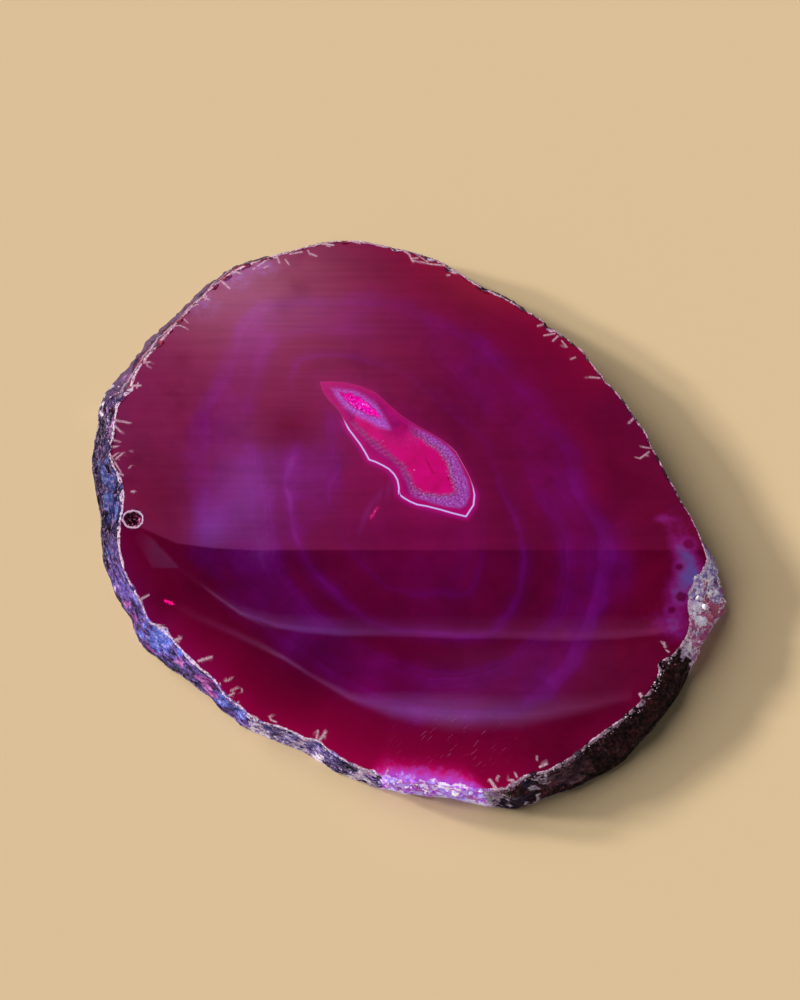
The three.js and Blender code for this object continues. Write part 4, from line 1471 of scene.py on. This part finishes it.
def finish_crystals(name, maker, material, replaces=None):
    for vert in maker.verts:
        vert.co = Vector(np.clip(vert.co, low_limit * MM, high_limit * MM))
    bmesh.ops.recalc_face_normals(maker, faces=maker.faces[:])
    piece = new_piece(name, maker)
    piece.data.materials.append(material)
    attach(piece, "root")
    if replaces:
        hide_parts(replaces)
    print(name, "has", len(piece.data.polygons), "faces")


def crystal_maker():
    maker = bmesh.new()
    maker.verts.layers.float.new("shade")
    return maker


# %% [markdown]
# ## The pink crystals in the eye
# The hollow in the heart is the only place where quartz could grow freely, so its points are perfect, and
# the dye has stained them the hottest pink of the whole stone. They root on the floor and on the walls, and
# lean in towards the long middle line. Light that comes through the slice makes them glow.

# %% Pink crystal material
pink, skin, place = new_material(
    "pink_crystal", Roughness=0.16, Specular_IOR_Level=0.6, Coat_Weight=0.6, Coat_Roughness=0.05
)
veil = grain(place, 0.5, 3, 0.6)
stained = chart(veil * 0.6 + fact(place, "shade") * 0.4, paint(
    (0.2, 182, 1, 142), (0.42, 210, 10, 174), (0.6, 236, 34, 206), (0.78, 252, 146, 240)
))
feed(skin["Base Color"], stained)
feed(skin["Emission Color"], stained)
feed(skin["Emission Strength"], 0.3)
raise_surface(skin, veil, 0.25, 0.05)

# %% Pink crystals
EYE_CRYSTALS = 250
EYE_START, EYE_END, EYE_TIP = -3.9, 4.0, 4
BELOW_THE_FACE = 0.08


def eye_side(belongs):
    """One side of the eye's outline, as points from its left tip to its right one."""
    return np.transpose(sorted((x, y) for x, y in EYE_OUTLINE if belongs(y) or abs(x) >= EYE_TIP))


eye_maker = crystal_maker()
along = np.linspace(EYE_START, EYE_END + 0.1, 40)
upper = np.interp(along, *eye_side(lambda y: y > 0.1))
lower = np.interp(along, *eye_side(lambda y: y < 0))
for count in range(EYE_CRYSTALS):
    where = draw.uniform(EYE_START, EYE_END)
    high, low = np.interp(where, along, upper), np.interp(where, along, lower)
    across = draw.uniform(0.03, 0.97)
    out = abs(across - 0.5) * 2
    local, centre = Vector((where, low + (high - low) * across)), Vector((where * 0.96, (low + high) / 2))
    spot, middle = placed([local, centre], EYE_PLACE, EYE_TURN)
    inward = Vector((*(middle - spot), 0)) * out
    room = min(1.0, (high - low) / 1.2)
    rise = (0.35 + 0.85 * out**2) * (0.4 + 0.6 * room)
    root = (*spot, THICKNESS - EYE_DEPTH + rise * 0.75)
    size = 0.6 + 0.4 * room
    grow_crystal(
        eye_maker, root, leaning(inward * 0.9 + UPRIGHT, 0.35), draw.uniform(0.1, 0.26) * size,
        draw.uniform(0.45, 0.8) * size, draw.uniform(0, 1),
    )
for vert in eye_maker.verts:
    vert.co.z = min(vert.co.z, (THICKNESS - BELOW_THE_FACE) * MM)
finish_crystals("eye_crystals", eye_maker, pink, "pocket_crystals")

# %% [markdown]
# ## Quartz at the tip, glassy lumps below, and crumbs along the edge
# The right tip is a break through coarse quartz: many small points and grains, milky or lavender, with a
# few rosy ones beside them. Along the lower edge the quartz is glassy, so light caught inside it glows
# lavender and white. Elsewhere only crumbs of broken quartz cling to the edge. One recipe serves all four,
# with other colours each time.

# %% Quartz material
def quartz_material(name, glow_strength, *rows):
    """Quartz with a glow and its own paint: rows of a tone and the colour there."""
    material, skin, place = new_material(
        name, Specular_IOR_Level=0.5, Coat_Weight=0.35, Coat_Roughness=0.08
    )
    veil = grain(place, 0.7, 4, 0.65)
    colour = chart(veil * 0.9 + fact(place, "shade") * 0.8 - 0.35, paint(*rows))
    feed(skin["Base Color"], colour)
    feed(skin["Roughness"], ease(veil, 0.35, 0.65, 0.2, 0.6))
    if glow_strength:
        feed(skin["Emission Color"], colour)
        feed(skin["Emission Strength"], glow_strength)
    raise_surface(skin, veil, 0.5, 0.15)
    return material


milky = quartz_material(
    "milky_quartz", 0.2,
    (0.1, 92, 60, 120), (0.3, 132, 96, 152), (0.5, 160, 136, 190), (0.7, 206, 192, 220), (0.9, 240, 234, 244),
)
rosy = quartz_material(
    "rosy_quartz", 0.2, (0.1, 126, 40, 84), (0.35, 152, 58, 98), (0.6, 172, 84, 120), (0.9, 206, 150, 176)
)
glassy = quartz_material(
    "glassy_quartz", 0.55,
    (0.1, 150, 60, 190), (0.3, 176, 90, 226), (0.5, 160, 136, 246), (0.7, 206, 190, 255),
    (0.9, 250, 246, 255),
)
crumbly = quartz_material(
    "crumbly_quartz", 0.0,
    (0.1, 96, 52, 82), (0.35, 160, 116, 144), (0.6, 200, 168, 190), (0.9, 236, 224, 234),
)
print("four kinds of quartz are ready")

# %% Tip, lumps and crumbs
face_bearings = bearings_of(middles[:, :2])
first_corner = [polygon.vertices[0] for polygon in mesh.polygons]
face_edge_mm = mesh_values(mesh.attributes["edge_mm"].data, "value", 1)[first_corner, 0]

# Single larger grains: bearing, height and radius in mm, and shade
ROSY_GRAINS = [
    (342.2, 3.6, 1.5, 0.4), (340.3, 4.8, 0.8, 0.6), (340.8, 2.4, 0.8, 0.3), (338.4, 3.2, 0.7, 0.5),
    (344, 2.4, 0.6, 0.7),
]
MILKY_GRAINS = [
    (346.6, 5.6, 0.6, 0.9), (345.2, 6.3, 0.55, 0.6), (344.5, 4.8, 0.6, 1), (343.5, 6, 0.5, 0.4),
    (347.9, 6.3, 0.5, 0.7), (342.7, 6.4, 0.5, 0.9), (341.4, 6.2, 0.55, 1), (340.2, 6.3, 0.5, 0.8),
    (339.1, 6.4, 0.45, 0.9), (345.9, 4, 0.45, 0.5), (336.4, 5.6, 0.6, 0.3), (335.2, 4.2, 0.6, 0.4),
    (333.9, 5.8, 0.5, 0.9), (333, 4, 0.5, 0.8), (337.3, 4.4, 0.5, 0.5),
]
GLASSY_GRAINS = [
    (267, 6.5, 0.8, 0.6), (270, 5, 0.8, 0.4), (272.8, 5.9, 0.7, 0.7), (273.8, 2.7, 0.65, 0.9),
    (276.8, 6.2, 0.75, 0.9), (276.4, 1.8, 0.65, 0.8), (279.4, 4.8, 1.1, 1), (281.4, 3.6, 0.65, 0.5),
    (284, 5, 0.6, 0.6), (265.4, 4.6, 0.5, 0.8),
]
# Crumbs: bearings from and to, how many, and how far below the edge in mm
CRUMBS = [
    (289, 333, 170, 0.5), (284.5, 290, 60, 3.5), (225, 263, 90, 1.4), (20, 100, 70, 0.4), (155, 168, 24, 2.5),
]


def rind_faces(start, end, low, high=THICKNESS):
    """The faces of the rind between two bearings and two heights in mm."""
    span = (face_bearings - start) % 360 < (end - start)
    return np.flatnonzero((surface == RIND) & span & (middles[:, 2] > low) & (middles[:, 2] < high))


def grow_grains(maker, grains):
    for bearing, height, radius, shade in grains:
        out = outward(bearing)
        root = out * (wall_distance(bearing, height) - radius * 0.6) + UPRIGHT * height
        grow_lump(maker, root, leaning(out + UPRIGHT * 0.5, 0.3), radius, radius * 0.85, shade, True)


tip_maker = crystal_maker()
grow_grains(tip_maker, MILKY_GRAINS)
for root, normal in roots_on_stone(rind_faces(332.0, 351.0, 0.8, 6.9), 60):
    size = draw.uniform(0.14, 0.36)
    root -= normal * size * 1.5
    lean = leaning(normal, 0.7)
    grow_crystal(tip_maker, root, lean, size, size * draw.uniform(1.6, 2.2), draw.uniform(0, 1))
for root, normal in roots_on_stone(rind_faces(331.5, 351.5, 0.5), 60):
    size = draw.uniform(0.1, 0.26)
    root -= normal * size * 0.3
    grow_lump(tip_maker, root, leaning(normal, 0.5), size, size * 0.8, draw.uniform(0.3, 1), False)
finish_crystals("tip_crystals", tip_maker, milky)

rosy_maker = crystal_maker()
grow_grains(rosy_maker, ROSY_GRAINS)
finish_crystals("rosy_crystals", rosy_maker, rosy)

lump_maker = crystal_maker()
grow_grains(lump_maker, GLASSY_GRAINS)
for root, normal in roots_on_stone(rind_faces(264.5, 285.0, 1.0), 70):
    size = draw.uniform(0.2, 0.5)
    root -= normal * size * 0.35
    lean = leaning(normal, 0.4)
    grow_lump(lump_maker, root, lean, size, size * draw.uniform(0.6, 1), draw.uniform(0, 1), True)
finish_crystals("glassy_lumps", lump_maker, glassy)

crumb_maker = crystal_maker()
for start, end, count, reach in CRUMBS:
    near_edge = [index for index in rind_faces(start, end, 2.0) if face_edge_mm[index] < reach]
    for root, normal in roots_on_stone(near_edge, count):
        size = draw.uniform(0.05, 0.16) + (0.1 if draw.uniform() > 0.9 else 0)
        grow_lump(crumb_maker, root, leaning(normal, 0.6), size, size * 0.9, draw.uniform(0, 1), False)
finish_crystals("edge_crumbs", crumb_maker, crumbly)

# %% [markdown]
# ## The studio
# A plain pale floor. Two soft suns side by side, low on the left, throw the shadow on the right, and a wide
# window above them softens it. The polished face is a mirror, so what it reflects matters as much as what
# lights it. The room is dark overhead and paler towards the horizon, and six cards hang in it, seen only in
# the polish: one for the pale haze over the upper part of the face, with its lower edge, and five strips
# for the streaks and the wedge below it. Each hangs at its own height, and a card only adds light to what
# lies behind it, so none hides another.

# %% Floor
floor_maker = bmesh.new()
bmesh.ops.create_grid(floor_maker, x_segments=1, y_segments=1, size=3)
floor = new_piece("floor", floor_maker)
floor_finish, skin, place = new_material("pale_floor", Roughness=0.9, Specular_IOR_Level=0.2)
feed(skin["Base Color"], tint(215, 190, 152))
floor.data.materials.append(floor_finish)

# %% Lights
# Each sun: bearing and elevation in degrees, width in degrees, strength and colour
SUNS = {
    "key_light": (158, 20.8, 6, 2.1, (1.0, 0.97, 0.92)),
    "key_light_beside": (170, 20.8, 6, 2.1, (1.0, 0.97, 0.92)),
    "window_light": (152, 43, 54, 2.2, (1.0, 0.98, 0.95)),
}
DARK_OVERHEAD, PALE_WALLS, WALL_LIGHT, ROOM_LIGHT = 0.75, 0.35, 0.4, 0.1
for name, (bearing, elevation, softness, strength, colour) in SUNS.items():
    sun = bpy.data.lights.new(name, "SUN")
    sun.energy, sun.angle, sun.color = strength, math.radians(softness), colour
    light = bpy.data.objects.new(name, sun)
    turn, rise = math.radians(bearing), math.radians(elevation)
    from_there = Vector((math.cos(turn) * math.cos(rise), math.sin(turn) * math.cos(rise), math.sin(rise)))
    light.rotation_euler = from_there.to_track_quat("Z", "Y").to_euler()
    light.visible_glossy = False
    bpy.context.scene.collection.objects.link(light)

world = bpy.data.worlds.new("studio")
world.use_nodes = True
bpy.context.scene.world = world
heading = Signal(put(world.node_tree, "ShaderNodeTexCoord").outputs["Generated"])
walls_seen = ease(part_of(heading, "Z"), DARK_OVERHEAD, PALE_WALLS, 0.0, WALL_LIGHT)
in_polish = Signal(put(world.node_tree, "ShaderNodeLightPath").outputs["Is Glossy Ray"])
level = node("ShaderNodeMix", {0: in_polish, 2: ROOM_LIGHT, 3: walls_seen}, data_type="FLOAT")
background = world.node_tree.nodes["Background"].inputs
feed(background["Strength"], level)
feed(background["Color"], (1, 1, 1, 1))
bpy.context.scene.view_settings.view_transform = "Standard"
print("lit by", ", ".join(SUNS))

# %% Cards seen in the polish
HAZE_HEIGHT = 600.0
HAZE_LEFT, HAZE_TOP, HAZE_RIGHT = 20, 170, 800
CARD_ROWS = 13


def in_the_polish(pixels, height):
    """Where a card must hang, at a height in mm, to be seen reflected at places in the photograph."""
    below = np.array((eye_point.x, eye_point.y))
    under = 2 * THICKNESS - eye_point.z
    return below + (on_face(pixels) - below) * (height - under) / (THICKNESS - under)


def hang_card(name, maker):
    """Makes a card clear but for a glow in its own stored tones, and shows it only in reflections."""
    card = new_piece(name, maker)
    material = bpy.data.materials.new(name)
    material.use_nodes = True
    material.cycles.emission_sampling = "NONE"
    tree = material.node_tree
    tree.nodes.clear()
    stored = Signal(put(tree, "ShaderNodeAttribute", attribute_name="tone").outputs["Color"])
    clear = Signal(put(tree, "ShaderNodeBsdfTransparent").outputs[0])
    both = node("ShaderNodeAddShader", {0: node("ShaderNodeEmission", {"Color": stored}), 1: clear})
    feed(put(tree, "ShaderNodeOutputMaterial").inputs["Surface"], both)
    card.data.materials.append(material)
    card.visible_camera = card.visible_diffuse = card.visible_shadow = card.visible_transmission = False


# The haze: colours across it, soft brighter or darker spots (x, y, width, height, colour), and its lower edge
HAZE_ACROSS = [
    (130, (2.1, 0.3, 1.3)), (400, (1.7, 0.09, 0.5)), (560, (1, 0.04, 0.35)), (700, (1, 0.06, 0.3)),
]
HAZE_PLACES = [
    (232, 280, 88, 56, (3.2, 1.9, 2.4)), (285, 340, 110, 95, (2.1, 0.35, 0.7)),
    (246, 492, 26, 46, (0.6, 0.45, 2)), (211, 526, 17, 24, (0.5, 0.5, 3.4)),
    (300, 470, 36, 40, (0.2, 0.1, 0.9)), (150, 500, 45, 60, (-0.8, -0.1, -0.6)),
    (505, 280, 60, 26, (0.8, 0.2, 0)), (290, 428, 22, 18, (-1, -0.2, -0.9)),
    (390, 534, 70, 14, (-0.6, -0.04, -0.1)),
]
HAZE_FOOT = [(20, 503), (130, 522), (142, 528), (176, 543), (212, 548), (250, 550), (800, 550)]
haze = bmesh.new()
haze_tone = haze.verts.layers.float_color.new("tone")
bmesh.ops.create_grid(haze, x_segments=60, y_segments=40, size=1)
places_across, colours_across = zip(*HAZE_ACROSS)
for vert in haze.verts:
    across = HAZE_LEFT + (HAZE_RIGHT - HAZE_LEFT) * (vert.co.x + 1) / 2
    foot = np.interp(across, *np.transpose(HAZE_FOOT))
    down = foot + (HAZE_TOP - foot) * (vert.co.y + 1) / 2
    colour = np.array([np.interp(across, places_across, part) for part in zip(*colours_across)])
    for x, y, width, height, extra in HAZE_PLACES:
        colour += np.array(extra) * math.exp(-(((across - x) / width) ** 2) - ((down - y) / height) ** 2)
    vert[haze_tone] = (*np.maximum(colour, 0), 1)
    vert.co = Vector((*in_the_polish([(across, down)], HAZE_HEIGHT)[0], HAZE_HEIGHT)) * MM
hang_card("haze_card", haze)

# The strips: height in mm, brightness from the lower edge to the upper one, and rows of the place in the
# photograph (x, lower y, width above it) with the colour there
STRIPS = {
    "upper_streak": (595, [(0, 0), (0.1, 0.75), (0.22, 1), (0.42, 0.45), (1, 0)], [
        (140, 531, 3, (0.1, 0.05, 0.1)), (176, 569, 8, (0.2, 0.05, 0.2)), (199, 586, 9, (0.3, 0.05, 0.2)),
        (221, 601.5, 10, (0.5, 0.12, 0.5)), (240, 614.5, 11, (1, 0.45, 1.9)),
        (276, 628.5, 16, (1.7, 0.6, 2.9)), (300, 633, 20, (1.1, 0.5, 2.4)), (341, 637, 22, (1, 0.45, 2.3)),
        (391, 637, 22, (0.9, 0.25, 1.4)), (450, 639, 24, (1.7, 0.3, 1.6)), (520, 640, 26, (1.5, 0.25, 1.3)),
        (560, 642, 28, (2, 0.4, 1.3)), (620, 640, 26, (1.5, 0.3, 1.1)), (655, 636, 22, (1.9, 0.3, 1.1)),
        (690, 628, 12, (0.2, 0, 0.1)),
    ]),
    "upper_line": (590, [(0, 0), (0.5, 1), (1, 0)], [
        (198, 583, 3, (0, 0, 0)), (215, 597.5, 4.5, (1.5, 0.5, 1.4)), (240, 615.6, 5, (1, 0.6, 1.3)),
        (262, 627, 5, (0.5, 0.2, 0.5)), (280, 632, 4, (0, 0, 0)),
    ]),
    "lower_streak": (585, [(0, 0), (0.12, 0.12), (0.25, 0.5), (0.42, 1), (0.55, 0.75), (0.75, 0.4), (1, 0)], [
        (168, 607, 12, (0, 0, 0)), (194, 621.5, 13, (0.4, 0.1, 0.25)), (226, 635, 12, (0.9, 0.14, 0.6)),
        (258, 649.5, 11, (0.75, 0.3, 0.9)), (284, 661, 6.5, (2.2, 0.75, 2.3)),
        (312, 679.2, 7, (1.1, 0.3, 1.1)), (350, 702.5, 12, (1.2, 0.6, 1.8)), (362, 708, 16, (0.9, 0.5, 2)),
        (391, 722, 32, (1.1, 0.7, 3)), (450, 735, 44, (1.2, 0.95, 2.7)), (520, 732, 38, (1.2, 0.6, 2)),
        (585, 717, 26, (1.4, 0.34, 1.1)), (632, 703, 16, (0.5, 0.1, 0.3)),
    ]),
    "between_streaks": (580, [(0, 0), (0.25, 1), (0.8, 0.8), (1, 0)], [
        (400, 716, 76, (0, 0, 0)), (470, 712, 72, (0.4, 0.08, 0.3)), (585, 706, 67, (0.7, 0.09, 0.4)),
        (625, 703, 66, (0.5, 0.06, 0.25)), (668, 690, 56, (0, 0, 0)),
    ]),
    "pale_wedge": (575, [(0, 0.4), (0.12, 1), (0.85, 1), (1, 0.6)], [
        (134, 541, 6, (0, 0, 0)), (143, 553, 20, (0.16, 0.08, 0.3)), (152, 568, 30, (0.4, 0.22, 0.72)),
        (165, 568.5, 17, (0.4, 0.22, 0.72)), (178, 568, 2, (0.3, 0.2, 0.6)),
    ]),
}
for name, (height, profile, stops) in STRIPS.items():
    strip = bmesh.new()
    tone = strip.verts.layers.float_color.new("tone")
    bmesh.ops.create_grid(strip, x_segments=len(stops) - 1, y_segments=CARD_ROWS - 1, size=1)
    order = sorted(strip.verts, key=lambda v: (round(v.co.y, 3), v.co.x))
    for index, vert in enumerate(order):
        share = index // len(stops) / (CARD_ROWS - 1)
        x, low, width, colour = stops[index % len(stops)]
        vert.co = Vector((*in_the_polish([(x, low - width * share)], height)[0], height)) * MM
        vert[tone] = (*(np.array(colour) * np.interp(share, *np.transpose(profile))), 1)
    hang_card(name, strip)
print("the studio is set")
